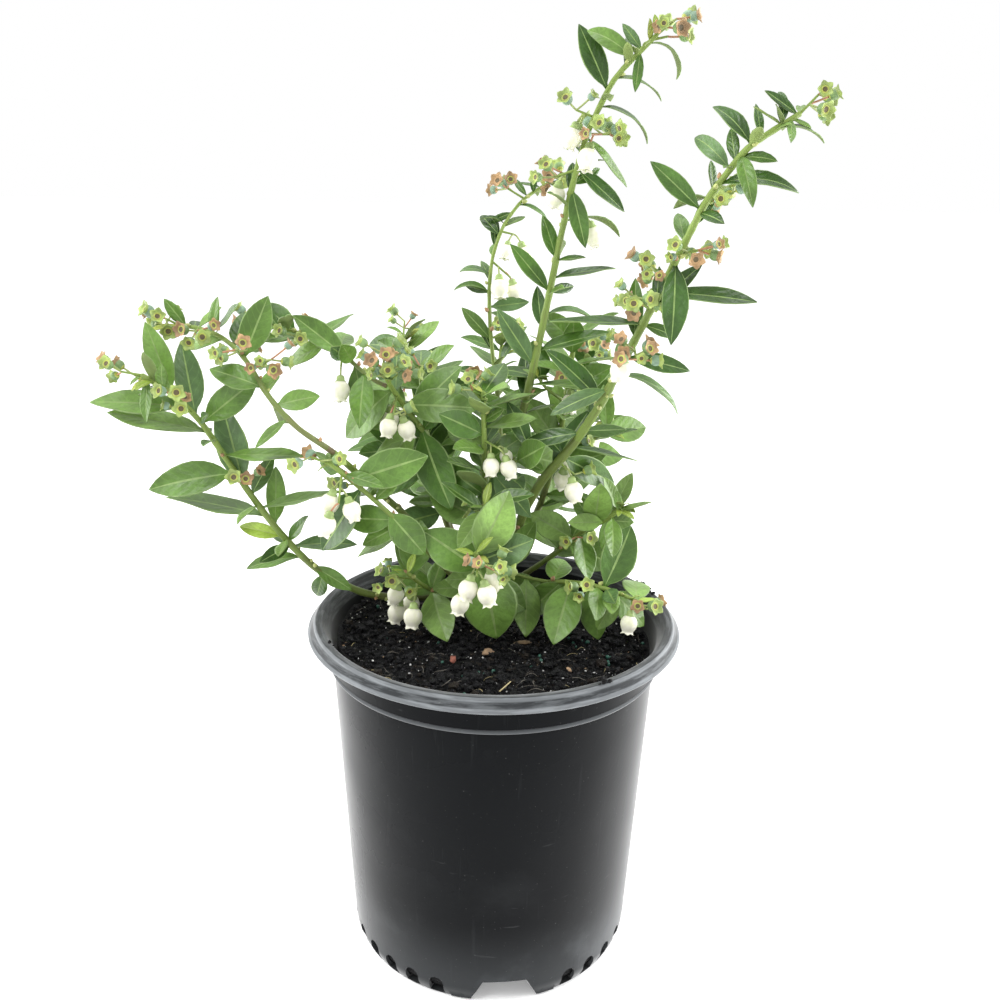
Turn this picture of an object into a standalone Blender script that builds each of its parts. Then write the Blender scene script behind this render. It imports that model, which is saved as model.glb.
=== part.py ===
"""A young blueberry bush in flower and green fruit, in its round black nursery pot.

Metres, +Z up. The origin is on the pot's axis, on the ground under its flat centre pad, and the side
of the bush that faces the viewer is at -Y.
"""

import random
import re
from collections import namedtuple
from math import atan2, cos, hypot, pi, radians, sin

import bmesh
import bpy
from mathutils import Matrix, Vector
from mathutils.bvhtree import BVHTree

# Pot
POT_HEIGHT = 0.160
POT_WALL = 0.0015
FOOT_RADIUS = 0.0637
WALL_LOW_RADIUS = 0.0659
WALL_HIGH_RADIUS = 0.0730
COLLAR_LOW = 0.1400
COLLAR_RADIUS = 0.0748
LIP_RADIUS = 0.0840
LIP_INNER_RADIUS = 0.0768
LIP_SKIRT_LOW = 0.1540
LIP_SKIRT_HIGH = 0.1572
FLOOR = 0.0020
FOOT_BEND = 0.006
LIP_CORNER = 0.0012
POT_STEPS = 40
SOIL_STEPS = 30
STUMP_STEPS = 14

# Drain channels and arches round the foot
CHANNELS = 3
CHANNEL_TURN = radians(276.5)
CHANNEL_HALF_BASE = 0.0195
CHANNEL_HALF_TOP = 0.0112
CHANNEL_HEIGHT = 0.0150
CHANNEL_END = 0.030
COVER_INNER = 0.020
COVER_OUTER = 0.0646
COVER_HALF = radians(21)
COVER_THICKNESS = 0.0018
COVER_STEPS = 5
NOTCH_OUTER = 0.075
NOTCH_LOW = -0.002
ARCHES_BETWEEN = 7
ARCH_FIRST = radians(27)
ARCH_STEP = radians(11)
ARCH_WIDTH = 0.0070
ARCH_HEIGHT = 0.0102
ARCH_LOW = 0.0009
ARCH_INNER = 0.0601

# Potting mix
SOIL_TOP = 0.1480
SOIL_EDGE = 0.1450
SOIL_FLAT_RADIUS = 0.056
SOIL_ROUND = (0.065, 0.1468)
GAP = 0.0004

# Bush: the stump in the middle of the crown, from which every cane rises
SEED = 11
CROWN = Vector((-0.005, 0.038, 0.152))
CROWN_RADIUS = 0.0095
GROUND_CLEAR = 0.0012
MIX_EDGE = 0.0708
TWIG_CLEAR = 0.0003
LEAF_CLEAR = 0.0005
PATH_STEPS, CANE_STEPS, STEM_STEPS = 40, 4, 8
CANE_SIDES, STEM_SIDES, TWIG_SIDES = 5, 4, 3
TWIG_THICK = (0.0018, 0.0012)

# Leaf: how thick it is as a share of its length, its stalk, how much leaves crowd towards a tip, and
# how often another turn is tried
LEAF_THICKNESS = 0.028
SMALL_LEAF = 0.0225
PETIOLE = 0.0025
TIP_CROWD = 1.3
LEAF_TRIES = 13
TRY_TURN = 14
MOST_ROLL = 22
ARCH_RANGE = (6, 34)
MORE_ARCH = 55

# Flower truss: its stalk, and the bells and green fruits on their pedicels
STALK_THICK = (0.0011, 0.0009)
STALK_LENGTH = 0.0040
STALK_PER_FLOWER = 0.0022
STALK_BEND = 0.0008
PEDICEL_THICK = 0.0009
BELL_LENGTH = 0.0112
FRUIT_LENGTH = 0.0058
FLOWER_TRIES = 10
# Outline of a bell and of a green fruit: shares of the length along, and radii as shares of it
BELL = ((0.02, 0.15), (0.50, 0.35), (1.0, 0.22))
FRUIT = ((0.0, 0.26), (1.0, 0.60))

# Faces of a fused mass that lie within the first of these angles of each other are merged
FLAT_ANGLES = (radians(6), radians(2), radians(0.1))

# A cane: its whole length, its thickness at foot and tip, its leans from upright and its headings
# (0 right, 90 back, 180 left, 270 front) from foot to tip, and the share of it that is bare.
Cane = namedtuple("Cane", "length thick leans headings bare grows_from", defaults=[None])
CANES = {
    "low_left": Cane(0.207, (0.0040, 0.0020), (84, 82, 62, 38, 30, 28, 62),
                     (190, 218, 211, 202, 194, 191, 196), 0.41),
    "mid_left": Cane(0.126, (0.0036, 0.0028), (60, 30, 48, 54), (212, 214, 220, 256), 1.0),
    "outer_left": Cane(0.100, (0.0026, 0.0016), (54, 52, 51, 68, 93), (250, 157, 127, 146, 177),
                       0.20, ("mid_left", 1.0)),
    "mid_left_lower": Cane(0.130, (0.0028, 0.0018), (62, 50, 40, 51), (240, 250, 208, 184), 0.62),
    "upper_left": Cane(0.134, (0.0034, 0.0020), (32, 6, 38, 40), (226, 224, 204, 246), 0.62),
    "flat_left": Cane(0.063, (0.0020, 0.0012), (74, 58, 68, 84), (168, 140, 174, 186),
                      0.16, ("upper_left", 0.93)),
    "slender": Cane(0.212, (0.0026, 0.0014), (26, 15, 11, 13, 8, 25, 73), (70, 62, 91, 140, 111, 28, 30),
                    0.42),
    "tall": Cane(0.268, (0.0044, 0.0018), (4, 15, 20, 12, 10, 17, 55), (350, 312, 302, 327, 335, 334, 352),
                 0.34),
    "right": Cane(0.270, (0.0050, 0.0020), (38, 22, 41, 30, 24, 25, 72),
                  (318, 300, 328, 309, 338, 328, 390), 0.30),
    "front": Cane(0.082, (0.0032, 0.0022), (66, 60, 50, 40), (274, 270, 264, 260), 0.40),
    "front_left": Cane(0.066, (0.0028, 0.0018), (80, 62, 46), (226, 236, 242), 0.40),
    "low_right": Cane(0.088, (0.0030, 0.0018), (58, 50, 44, 56), (340, 336, 334, 340), 0.46),
    "rim_right": Cane(0.092, (0.0028, 0.0016), (68, 60, 82, 106), (306, 318, 328, 332), 0.40),
    "centre_left": Cane(0.120, (0.0034, 0.0020), (36, 18, 8, 4), (176, 190, 200, 210), 0.34),
    "centre": Cane(0.118, (0.0034, 0.0020), (42, 24, 8, 4), (272, 270, 262, 250), 0.34),
    "centre_right": Cane(0.138, (0.0034, 0.0020), (38, 22, 8, 6), (366, 350, 336, 320), 0.34),
    "back_left": Cane(0.142, (0.0032, 0.0018), (54, 36, 26, 24), (130, 126, 122, 118), 0.34),
    "back": Cane(0.138, (0.0032, 0.0018), (54, 42, 30, 28), (88, 88, 84, 80), 0.34),
    "back_right": Cane(0.132, (0.0032, 0.0018), (56, 40, 28, 22), (34, 46, 56, 62), 0.34),
}

# A shoot: the leafy end of a cane, which is one mass. Its leaves stand along it in order, closer towards
# the tip, and shrink from the first size to the last. A word places each: the side it points to, in
# capitals where its face turns to the front, then its rise in degrees, then + for a long leaf, a dot
# for a short one, ~ for a strongly arched one. A number in place of words deals leaves out by seed,
# each turned on by the golden angle. Twigs are (share of the shoot, side and rise, length, leaves).
# Trusses are (share, side and rise, bells, green fruits).
Shoot = namedtuple("Shoot", "leaves sizes slim twigs trusses", defaults=[(), ()])
SHOOTS = {
    "low_left": Shoot(
        "F-75. R-35. l-8 r6 L8. b62 l14+++ r14++ R58. L74++ L-8++ b30 r8++ f20. l12+++ R38+ L86+ l4+++ "
        "R78+ L72+ L45 f60. f-50. L30.", (0.026, 0.024), 0.37, (),
        ((0.50, "f10", 0, 1), (0.80, "f15", 0, 1), (0.86, "f30", 0, 2), (1.0, "l-2", 0, 2))),
    "outer_left": Shoot(
        "l-40. R12. L25 f-10 R66+ b40 l5 R85. br40. L50. f-40.", (0.024, 0.017), 0.44, (),
        ((0.42, "r20", 0, 2), (0.55, "f10", 0, 2), (0.86, "f-20", 0, 2), (0.97, "l20", 0, 1),
         (1.0, "l-10", 0, 2))),
    "mid_left_lower": Shoot(
        "l-30 L-8 R-60 L40. b10 L-58++ R15++ r-5. l10 F-60.", (0.022, 0.023), 0.46,
        ((0.45, "bl35", 0.030, "l-5+ L78 br40+ R-40+ R55 b60 f70."),),
        ((0.62, "bl20", 0, 2), (0.86, "f-30", 4, 0), (0.98, "l10", 0, 2))),
    "upper_left": Shoot(
        "r20 L15 R-30 F-78++ L-36++ R55+ bl20+ R15+ r0 b50 L-45+ bl60 R62+ br40 f40",
        (0.027, 0.024), 0.42, (),
        ((0.72, "f-10", 3, 1), (0.84, "f35", 0, 3), (0.97, "f55", 0, 3), (0.90, "r30", 0, 1))),
    "flat_left": Shoot(
        "f-35+ F-70 l20+ b10+ L-28 br30 l-4+ L32 f20 bl10. l30.", (0.024, 0.017), 0.46, (),
        ((0.35, "f-40", 1, 0), (0.78, "f-30", 0, 2), (1.0, "l10", 0, 1))),
    "slender": Shoot(
        "l40 r-30 r0 bl60 L45 r10~. R5 l30~ l20~ F-40. b60 L35~ l30~. L-20. r-10~ L40~. F30. l15. r30.",
        (0.020, 0.013), 0.34, (),
        ((0.10, "l30", 0, 3), (0.30, "r20", 0, 1), (0.60, "r-30", 3, 0), (0.72, "r-5", 1, 0),
         (0.88, "l20", 0, 2), (0.97, "r25", 0, 3))),
    "tall": Shoot(
        "l20 b50 r10+ L55 r18+ L74. r12~ L50 r14 L72. b-10 r5~+ l40. R-65 R-38+ b20 r-46+ L-45+ r-14~+ "
        "L63+ r-2~ R70~. L35~ F-80. r-10~~ R60.", (0.027, 0.019), 0.31, (),
        ((0.57, "r-10", 1, 0), (0.66, "l-10", 1, 1), (0.74, "r15", 1, 3), (0.78, "l30", 1, 1),
         (0.985, "r5", 0, 1), (1.0, "r30", 0, 2))),
    "right": Shoot(
        "R60 R-45+ r-10 L-15 b20 L45+ L-8 r-12~+ R-12 L84 l3++ R42 r3+++ L44+ R-66++ b30 R50. L38+ b-20 "
        "r9~++ L38~ F-35~ L52~ b55. r12~ R85~. f-50. L30.", (0.028, 0.019), 0.30, (),
        ((0.06, "r-30", 1, 1), (0.42, "f-5", 1, 3), (0.50, "fl20", 0, 3), (0.58, "l15", 0, 3),
         (0.63, "r0", 0, 3), (0.74, "r10", 0, 3), (1.0, "r40", 0, 2))),
    "front": Shoot(
        "b30 l10 R-35 L-20. R-72+ L34+ L-64+++ R22 R60++ b20", (0.022, 0.022), 0.58, (),
        ((0.62, "fl-5", 3, 0), (0.88, "f-5", 3, 0), (0.95, "fr-5", 1, 2))),
    "front_left": Shoot(
        "bl30 L20 F-40 L-28 f10 bl60 R50 L-5", (0.025, 0.023), 0.50, (),
        ((0.55, "l-5", 2, 0), (0.85, "l15", 1, 2), (0.75, "f-20", 1, 0))),
    "low_right": Shoot(
        "R30 b20 R-25 L30 F-40 r10 L55. R-8. R-70 br50 l70. f20.", (0.024, 0.019), 0.50,
        ((0.55, "fr30", 0.024, "R60 L20. f-30 r20."),), ((0.40, "f10", 0, 2),)),
    "rim_right": Shoot(
        "L-30+ R-40 b30 L-50 F-60+ br10 R-70 F-20. R75+ R-48 L-70. F-80+ R-60 b-20", (0.024, 0.024), 0.50,
        ((0.18, "l10", 0.022, "L-40 F-70 l20. b10"),), ((0.62, "fl0", 0, 2), (0.92, "fr0", 1, 2))),
    "centre_left": Shoot(22, (0.025, 0.020), 0.47, ((0.35, "l30", 0.026, 6), (0.6, "fl25", 0.022, 5)),
                         ((0.55, "l10", 0, 2), (0.95, "f30", 0, 2))),
    "centre": Shoot(22, (0.025, 0.021), 0.48, ((0.25, "f20", 0.024, 5), (0.5, "r25", 0.024, 5)),
                    ((0.35, "f-10", 1, 4), (0.72, "fr0", 2, 0), (0.95, "l40", 0, 1))),
    "centre_right": Shoot(22, (0.026, 0.021), 0.46, ((0.4, "r15", 0.026, 6), (0.66, "fl30", 0.024, 5)),
                          ((0.45, "fr10", 1, 1), (0.78, "f10", 1, 3), (0.95, "r30", 0, 2))),
    "back_left": Shoot(20, (0.026, 0.021), 0.44, ((0.4, "l20", 0.026, 5),),
                       ((0.7, "l10", 1, 1), (1.0, "b30", 0, 2))),
    "back": Shoot(20, (0.026, 0.021), 0.44, ((0.45, "b20", 0.026, 5),),
                  ((0.6, "b0", 2, 0), (1.0, "b30", 0, 1))),
    "back_right": Shoot(20, (0.026, 0.021), 0.44, ((0.4, "br20", 0.026, 5),),
                        ((0.65, "r10", 1, 1), (1.0, "br30", 0, 2))),
}

Limb = namedtuple("Limb", "node kind points thick")
Leaf = namedtuple("Leaf", "node root along face length width arch")
Flower = namedtuple("Flower", "node kind stalk root aim size")

SIDES = {"r": Vector((1, 0, 0)), "b": Vector((0, 1, 0)), "l": Vector((-1, 0, 0)), "f": Vector((0, -1, 0))}
TO_VIEWER = Vector((0, -0.92, 0.38))
LEAF_FACE = Vector((0, -0.35, 0.90))
UP = Vector((0, 0, 1))
GOLDEN = radians(137.5)


def between(values, share):
    """The value at a share of the way through evenly spaced values."""
    place = min(max(share, 0.0), 1.0) * (len(values) - 1)
    i = min(int(place), len(values) - 2)
    return values[i] + (values[i + 1] - values[i]) * (place - i)


def heading_vector(side, rise):
    """A unit direction: letters for the sides it points to, and its rise from the level."""
    flat = sum((SIDES[letter] for letter in side.lower()), Vector()).normalized()
    return flat * cos(rise) + UP * sin(rise)


def walk(start, length, leans, headings, steps):
    """Points along a limb whose lean and heading change evenly between their values."""
    points = [Vector(start)]
    for i in range(steps):
        lean = radians(between(leans, (i + 0.5) / steps))
        turn = radians(between(headings, (i + 0.5) / steps))
        step = Vector((sin(lean) * cos(turn), sin(lean) * sin(turn), cos(lean)))
        points.append(points[-1] + step * (length / steps))
    return points


def along(points, share):
    """The point and the direction at a share of a limb's length."""
    place = min(max(share, 0.0), 1.0) * (len(points) - 1)
    i = min(int(place), len(points) - 2)
    return points[i].lerp(points[i + 1], place - i), (points[i + 1] - points[i]).normalized()


def stretch(points, first, last, steps):
    """Evenly spaced points from one share of a limb to another."""
    return [along(points, first + (last - first) * i / steps)[0] for i in range(steps + 1)]


def square_to(direction, axis):
    """The part of a direction that is square to an axis, one metre long."""
    rest = direction - axis * direction.dot(axis)
    return rest.normalized() if rest.length > 1e-6 else axis.orthogonal().normalized()


def leaf_spine(leaf, share):
    """The midrib's point, its direction and the leaf's face there."""
    bend = leaf.arch * share
    if abs(leaf.arch) < 1e-4:
        reach, sag = leaf.length * share, 0.0
    else:
        reach = leaf.length * sin(bend) / leaf.arch
        sag = leaf.length * (1 - cos(bend)) / leaf.arch
    ahead = leaf.along * cos(bend) - leaf.face * sin(bend)
    face = leaf.face * cos(bend) + leaf.along * sin(bend)
    return leaf.root + leaf.along * reach - leaf.face * sag, ahead, face


def leaf_section(leaf, share, half_width, keel, grow):
    """Left edge, right edge and the keel under the midrib at a share of the leaf."""
    point, ahead, face = leaf_spine(leaf, share)
    edge = ahead.cross(face) * (half_width + grow)
    top = point + face * grow
    return [top - edge, top + edge, point - face * (keel + grow)]


def leaf_solid(leaf, grow=0.0, root=0.0):
    """Points and faces of a thin closed leaf: a root point, keeled sections and a tip point."""
    keel = leaf.length * LEAF_THICKNESS
    half = leaf.width / 2
    points = [leaf_spine(leaf, root)[0]]
    sections = ((0.50, 1.0),) if leaf.length < SMALL_LEAF else ((0.36, 0.96), (0.72, 0.74))
    for share, width in sections:
        points += leaf_section(leaf, max(share, root + 0.05), half * width, keel, grow)
    tip, ahead, _ = leaf_spine(leaf, 1.0)
    points.append(tip + ahead * grow)
    last = len(points) - 1
    faces = []
    for i in range(3):
        n = (i + 1) % 3
        faces += [(0, 1 + n, 1 + i), (last, last - 3 + i, last - 3 + n)]
        if len(sections) > 1:
            faces += [(1 + i, 1 + n, 4 + n), (1 + i, 4 + n, 4 + i)]
    return points, faces


def tube_solid(points, thick, sides, grow=0.0):
    """Points and faces of a tapering closed tube along a path, with flat ends."""
    ahead = (points[1] - points[0]).normalized()
    across = ahead.orthogonal().normalized()
    verts, faces = [], []
    for i, point in enumerate(points):
        before = points[max(i - 1, 0)]
        after = points[min(i + 1, len(points) - 1)]
        ahead = (after - before).normalized()
        across = square_to(across, ahead)
        other = ahead.cross(across)
        radius = (thick[0] + (thick[1] - thick[0]) * i / (len(points) - 1)) / 2 + grow
        for k in range(sides):
            angle = 2 * pi * k / sides
            verts.append(point + (across * cos(angle) + other * sin(angle)) * radius)
    for i in range(len(points) - 1):
        for k in range(sides):
            a, b = i * sides + k, i * sides + (k + 1) % sides
            faces += [(a, b, b + sides), (a, b + sides, a + sides)]
    last = (len(points) - 1) * sides
    for k in range(1, sides - 1):
        faces += [(0, k + 1, k), (last, last + k, last + k + 1)]
    return verts, faces


def flower_solid(flower, grow=0.0, pedicel=True):
    """Points and faces of a closed bell or green fruit on its pedicel, along its aim."""
    outline, sides = (BELL, 5) if flower.kind == "bell" else (FRUIT, 4)
    across = flower.aim.orthogonal().normalized()
    other = flower.aim.cross(across)
    spokes = [across * cos(2 * pi * k / sides) + other * sin(2 * pi * k / sides) for k in range(sides)]
    verts, faces = [], []
    if pedicel:
        verts += [flower.stalk + spoke * (PEDICEL_THICK / 2 + grow) for spoke in spokes]
    for share, radius in outline:
        middle = flower.root + flower.aim * flower.size * share
        verts += [middle + spoke * (radius * flower.size + grow) for spoke in spokes]
    rings = len(verts) // sides
    for i in range(rings - 1):
        for k in range(sides):
            a, b = i * sides + k, i * sides + (k + 1) % sides
            faces += [(a, b, b + sides), (a, b + sides, a + sides)]
    last = (rings - 1) * sides
    for k in range(1, sides - 1):
        faces += [(0, k + 1, k), (last, last + k, last + k + 1)]
    return verts, faces


class Bush:
    """Everything the growth rule has laid out, and the room that it takes."""

    def __init__(self):
        self.limbs, self.leaves, self.flowers, self.taken = [], [], [], []

    def blocked(self, solid, skip=None):
        """Whether a solid would touch the pot, the potting mix or anything laid out but one owner."""
        verts, faces = solid
        for point in verts:
            floor = SOIL_TOP if hypot(point.x, point.y) < MIX_EDGE else POT_HEIGHT
            if point.z < floor + GROUND_CLEAR:
                return True
        middle = sum(verts, Vector()) / len(verts)
        reach = max((point - middle).length for point in verts)
        tree = BVHTree.FromPolygons(verts, faces)
        for owner, centre, size, other in self.taken:
            if owner is not skip and (centre - middle).length < size + reach and other.overlap(tree):
                return True
        return False

    def take(self, owner, solid):
        verts, faces = solid
        middle = sum(verts, Vector()) / len(verts)
        reach = max((point - middle).length for point in verts)
        self.taken.append((owner, middle, reach, BVHTree.FromPolygons(verts, faces)))

    def add_limb(self, limb, parent=None, root=0):
        """Keeps a limb, unless it touches another. The first points, in the parent, aren't tried."""
        if parent is not None:
            tried = tube_solid(limb.points[root:], limb.thick, CANE_SIDES, TWIG_CLEAR)
            if self.blocked(tried, parent):
                return False
        self.limbs.append(limb)
        self.take(limb, tube_solid(limb.points, limb.thick, CANE_SIDES, TWIG_CLEAR))
        return True

    def add_leaf(self, leaf, limb):
        """Keeps a leaf, unless it touches anything. Its foot may touch its own limb."""
        if self.blocked(leaf_solid(leaf, LEAF_CLEAR, 0.22), None):
            return False
        if self.blocked(leaf_solid(leaf, LEAF_CLEAR), limb):
            return False
        self.leaves.append(leaf)
        self.take(leaf, leaf_solid(leaf, LEAF_CLEAR))
        return True


def parse_word(word):
    """Side, rise, facing the front or not, size and arch of a leaf's word."""
    side, rise, marks = re.fullmatch(r"([lrfbLRFB]+)(-?\d+)([+.~]*)", word).groups()
    size = 1.0 + 0.2 * marks.count("+") - 0.3 * marks.count(".")
    return side.lower(), radians(int(rise)), side.isupper(), size, marks.count("~")


def dealt_leaves(count, limb, rng):
    """Leaves dealt out by seed: each turned on from the last, rising a little over the limb."""
    turn = rng.uniform(0, 2 * pi)
    found = []
    for i in range(count):
        turn += GOLDEN + rng.uniform(-0.35, 0.35)
        ahead = along(limb.points, (i + 0.5) / count)[1]
        flat = square_to(Vector((cos(turn), sin(turn), 0)), ahead)
        lift = radians(rng.uniform(5, 50))
        found.append((flat * cos(lift) + ahead * sin(lift), rng.random() < 0.35, 1.0, 0))
    return found


def worded_leaves(words):
    found = []
    for word in words.split():
        side, rise, front, size, arched = parse_word(word)
        found.append((heading_vector(side, rise), front, size, arched))
    return found


def grow_leaves(bush, limb, leaves, sizes, slim, rng):
    """Sets leaves along a limb. One that is blocked tries other turns, and is then left out."""
    if isinstance(leaves, str):
        wanted = worded_leaves(leaves)
    else:
        wanted = dealt_leaves(leaves, limb, rng)
    count = len(wanted)
    for i, (aim, front, scale, arched) in enumerate(wanted):
        share = 1 - (1 - min((i + 0.6 + rng.uniform(-0.15, 0.15)) / count, 0.99)) ** TIP_CROWD
        root, ahead = along(limb.points, share)
        length = between(sizes, share) * scale * rng.uniform(0.94, 1.06)
        width = length * slim * (1.15 if front else 0.95) * rng.uniform(0.9, 1.08)
        arch = radians(rng.uniform(*ARCH_RANGE) + MORE_ARCH * arched)
        roll = radians(rng.uniform(-MOST_ROLL, MOST_ROLL))
        for tries in range(LEAF_TRIES):
            shift = radians(((tries + 1) // 2) * TRY_TURN * (-1) ** tries)
            turned = Matrix.Rotation(shift, 3, ahead) @ aim
            turned.z += sin(arch / 2) * 0.5
            turned.normalize()
            face = square_to(TO_VIEWER if front else LEAF_FACE, turned)
            face = Matrix.Rotation(roll, 3, turned) @ face
            if bush.add_leaf(Leaf(limb.node, root, turned, face, length + PETIOLE, width, arch), limb):
                break


def grow_truss(bush, limb, truss, rng):
    """A flower truss: a short stalk with bells that hang from it and green fruits that stand off it."""
    share, word, bells, fruits = truss
    side, rise, _, _, _ = parse_word(word)
    root = along(limb.points, share)[0]
    count = bells + fruits
    aim = heading_vector(side, rise)
    bend = UP * STALK_BEND * (-count if bells else count)
    tip = root + aim * (STALK_LENGTH + STALK_PER_FLOWER * count) + bend
    stalk = Limb(limb.node, "stalk", [root, tip], STALK_THICK)
    bush.add_limb(stalk)
    for i, kind in enumerate(["bell"] * bells + ["fruit"] * fruits):
        place = along(stalk.points, (i + 1) / count)[0]
        size = (BELL_LENGTH if kind == "bell" else FRUIT_LENGTH) * rng.uniform(0.92, 1.08)
        for tries in range(FLOWER_TRIES):
            spin = atan2(aim.y, aim.x) + (i - (count - 1) / 2) * 1.5 + tries * 0.7 + rng.uniform(-0.3, 0.3)
            out = Vector((cos(spin), sin(spin), 0))
            if kind == "bell":
                start = out * 0.0032 - UP * 0.0030
                faces_to = (out * 0.32 - UP).normalized()
            else:
                start = out * 0.0045 + UP * rng.uniform(-0.0015, 0.0030)
                faces_to = (start.normalized() + TO_VIEWER * 0.35).normalized()
            flower = Flower(limb.node, kind, place, place + start, faces_to, size)
            if not bush.blocked(flower_solid(flower, TWIG_CLEAR, False)):
                bush.take(flower, flower_solid(flower, TWIG_CLEAR))
                bush.flowers.append(flower)
                break


def twig_path(root, aim, length):
    """A twig that goes straight for two thirds of its length, and then turns up a little."""
    bend = (aim + UP * 0.5).normalized()
    turn = root + aim * length * 0.65
    return [root, root + aim * length * 0.35, turn + bend * length * 0.05, turn + bend * length * 0.35]


def grow():
    """Grows the bush: first the limbs, then twigs, trusses and leaves, each where there is room."""
    rng = random.Random(SEED)
    bush = Bush()
    paths, stems = {}, {}
    for name, cane in CANES.items():
        if cane.grows_from:
            parent, share = cane.grows_from
            start, ahead = along(paths[parent], share)
            clear = TWIG_CLEAR if share == 1.0 else CANES[parent].thick[1] / 2 + cane.thick[0] / 2
        else:
            start, clear = CROWN, CROWN_RADIUS
        path = walk(start, cane.length, cane.leans, cane.headings, PATH_STEPS)
        paths[name] = path
        first = (clear + TWIG_CLEAR) / cane.length
        middle = cane.thick[0] + (cane.thick[1] - cane.thick[0]) * cane.bare
        bough = stretch(path, first, cane.bare, CANE_STEPS)
        bush.add_limb(Limb("cane_" + name, "cane", bough, (cane.thick[0], middle)))
        if name not in SHOOTS:
            continue
        start_share = cane.bare + TWIG_CLEAR / cane.length
        stem = stretch(path, start_share, 1.0, STEM_STEPS)
        stems[name] = Limb("shoot_" + name, "stem", stem, (middle, cane.thick[1]))
        bush.add_limb(stems[name])
    limbs = {}
    for name, shoot in SHOOTS.items():
        limbs[name] = [(stems[name], shoot.leaves)]
        for share, word, length, leaves in shoot.twigs:
            side, rise, _, _, _ = parse_word(word)
            path = twig_path(along(stems[name].points, share)[0], heading_vector(side, rise), length)
            twig = Limb("shoot_" + name, "twig", path, TWIG_THICK)
            if bush.add_limb(twig, stems[name], 1):
                limbs[name].append((twig, leaves))
    for name, shoot in SHOOTS.items():
        for truss in shoot.trusses:
            grow_truss(bush, stems[name], truss, rng)
    for name, shoot in SHOOTS.items():
        for limb, leaves in limbs[name]:
            grow_leaves(bush, limb, leaves, shoot.sizes, shoot.slim, rng)
    return bush


def clear_scene():
    for obj in list(bpy.data.objects):
        bpy.data.objects.remove(obj, do_unlink=True)


def principled(name, colour, roughness, metallic=0.0):
    material = bpy.data.materials.new(name)
    material.use_nodes = True
    shader = material.node_tree.nodes["Principled BSDF"]
    shader.inputs["Base Color"].default_value = (*colour, 1.0)
    shader.inputs["Roughness"].default_value = roughness
    shader.inputs["Metallic"].default_value = metallic
    return material


def add_object(name, mesh, material=None, collection=None):
    obj = bpy.data.objects.new(name, mesh)
    (collection or bpy.context.scene.collection).objects.link(obj)
    if material:
        mesh.materials.append(material)
    return obj


def mesh_from(name, build):
    """A mesh made by a function that fills a bmesh, with its normals pointing out."""
    bm = bmesh.new()
    build(bm)
    bmesh.ops.remove_doubles(bm, verts=bm.verts, dist=1e-6)
    bmesh.ops.recalc_face_normals(bm, faces=bm.faces)
    mesh = bpy.data.meshes.new(name)
    bm.to_mesh(mesh)
    bm.free()
    return mesh


def turned_profile(bm, outline, steps, angle=2 * pi, start=0.0):
    """Turns a closed outline of (radius, height) about the pot's axis, all round or through a sector."""
    verts = [bm.verts.new((r * cos(start), r * sin(start), z)) for r, z in outline]
    full = angle > 2 * pi - 1e-6
    if full:
        edges = [bm.edges.new((a, b)) for a, b in zip(verts, verts[1:])]
        if outline[0][0] > 1e-9:
            edges.append(bm.edges.new((verts[-1], verts[0])))
        bmesh.ops.spin(bm, geom=verts + edges, cent=(0, 0, 0), axis=(0, 0, 1), angle=angle, steps=steps,
                       use_merge=True, use_duplicate=False)
    else:
        face = bm.faces.new(verts)
        bmesh.ops.spin(bm, geom=[face] + list(face.edges) + verts, cent=(0, 0, 0), axis=(0, 0, 1),
                       angle=angle, steps=steps, use_duplicate=False)


def pot_outline():
    """The pot's section: centre pad, foot, tapering wall, collar, skirt and rounded lip, then inside."""
    wall = POT_WALL
    return [
        (0.0, 0.0), (FOOT_RADIUS, 0.0), (WALL_LOW_RADIUS, FOOT_BEND),
        (WALL_HIGH_RADIUS, COLLAR_LOW), (COLLAR_RADIUS, COLLAR_LOW + 0.0014),
        (COLLAR_RADIUS + 0.0006, LIP_SKIRT_LOW), (LIP_RADIUS, LIP_SKIRT_LOW), (LIP_RADIUS, LIP_SKIRT_HIGH),
        (LIP_RADIUS - LIP_CORNER, POT_HEIGHT - 0.0018), (LIP_RADIUS - 0.0040, POT_HEIGHT),
        (LIP_INNER_RADIUS, POT_HEIGHT), (COLLAR_RADIUS - wall + 0.0006, LIP_SKIRT_LOW),
        (WALL_HIGH_RADIUS - wall, COLLAR_LOW - 0.0020), (WALL_LOW_RADIUS - wall, FOOT_BEND),
        (FOOT_RADIUS - wall, FLOOR), (0.0, FLOOR),
    ]


def channel_cover(bm, turn, grow=0.0):
    """The raised floor over a drain channel, as a sector that ends inside the pot's wall."""
    half = COVER_HALF + grow / CHANNEL_END
    inner, outer = COVER_INNER - grow, COVER_OUTER + grow
    low, top = FLOOR / 2, CHANNEL_HEIGHT + COVER_THICKNESS + grow
    outline = [(inner, low), (outer, low), (outer, top), (outer - FOOT_BEND, top), (inner, FLOOR + grow)]
    turned_profile(bm, outline, COVER_STEPS, 2 * half, turn - half)


def channel_cutter(bm, turn):
    """The drain channel: a trapezoid at the wall that narrows and dies out towards the centre pad."""
    bmesh.ops.create_cube(bm, size=2.0)
    slope = (CHANNEL_HALF_BASE - CHANNEL_HALF_TOP) / CHANNEL_HEIGHT
    for vert in bm.verts:
        at_wall = vert.co.x > 0
        at_top = vert.co.z > 0
        x = NOTCH_OUTER if at_wall else CHANNEL_END
        z = (CHANNEL_HEIGHT if at_wall else NOTCH_LOW / 2) if at_top else NOTCH_LOW
        half = (CHANNEL_HALF_BASE - slope * z) if at_wall else (0.004 if at_top else 0.006)
        vert.co = Vector((x, half if vert.co.y > 0 else -half, z))
    bmesh.ops.rotate(bm, verts=bm.verts, matrix=Matrix.Rotation(turn, 3, "Z"))


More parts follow.
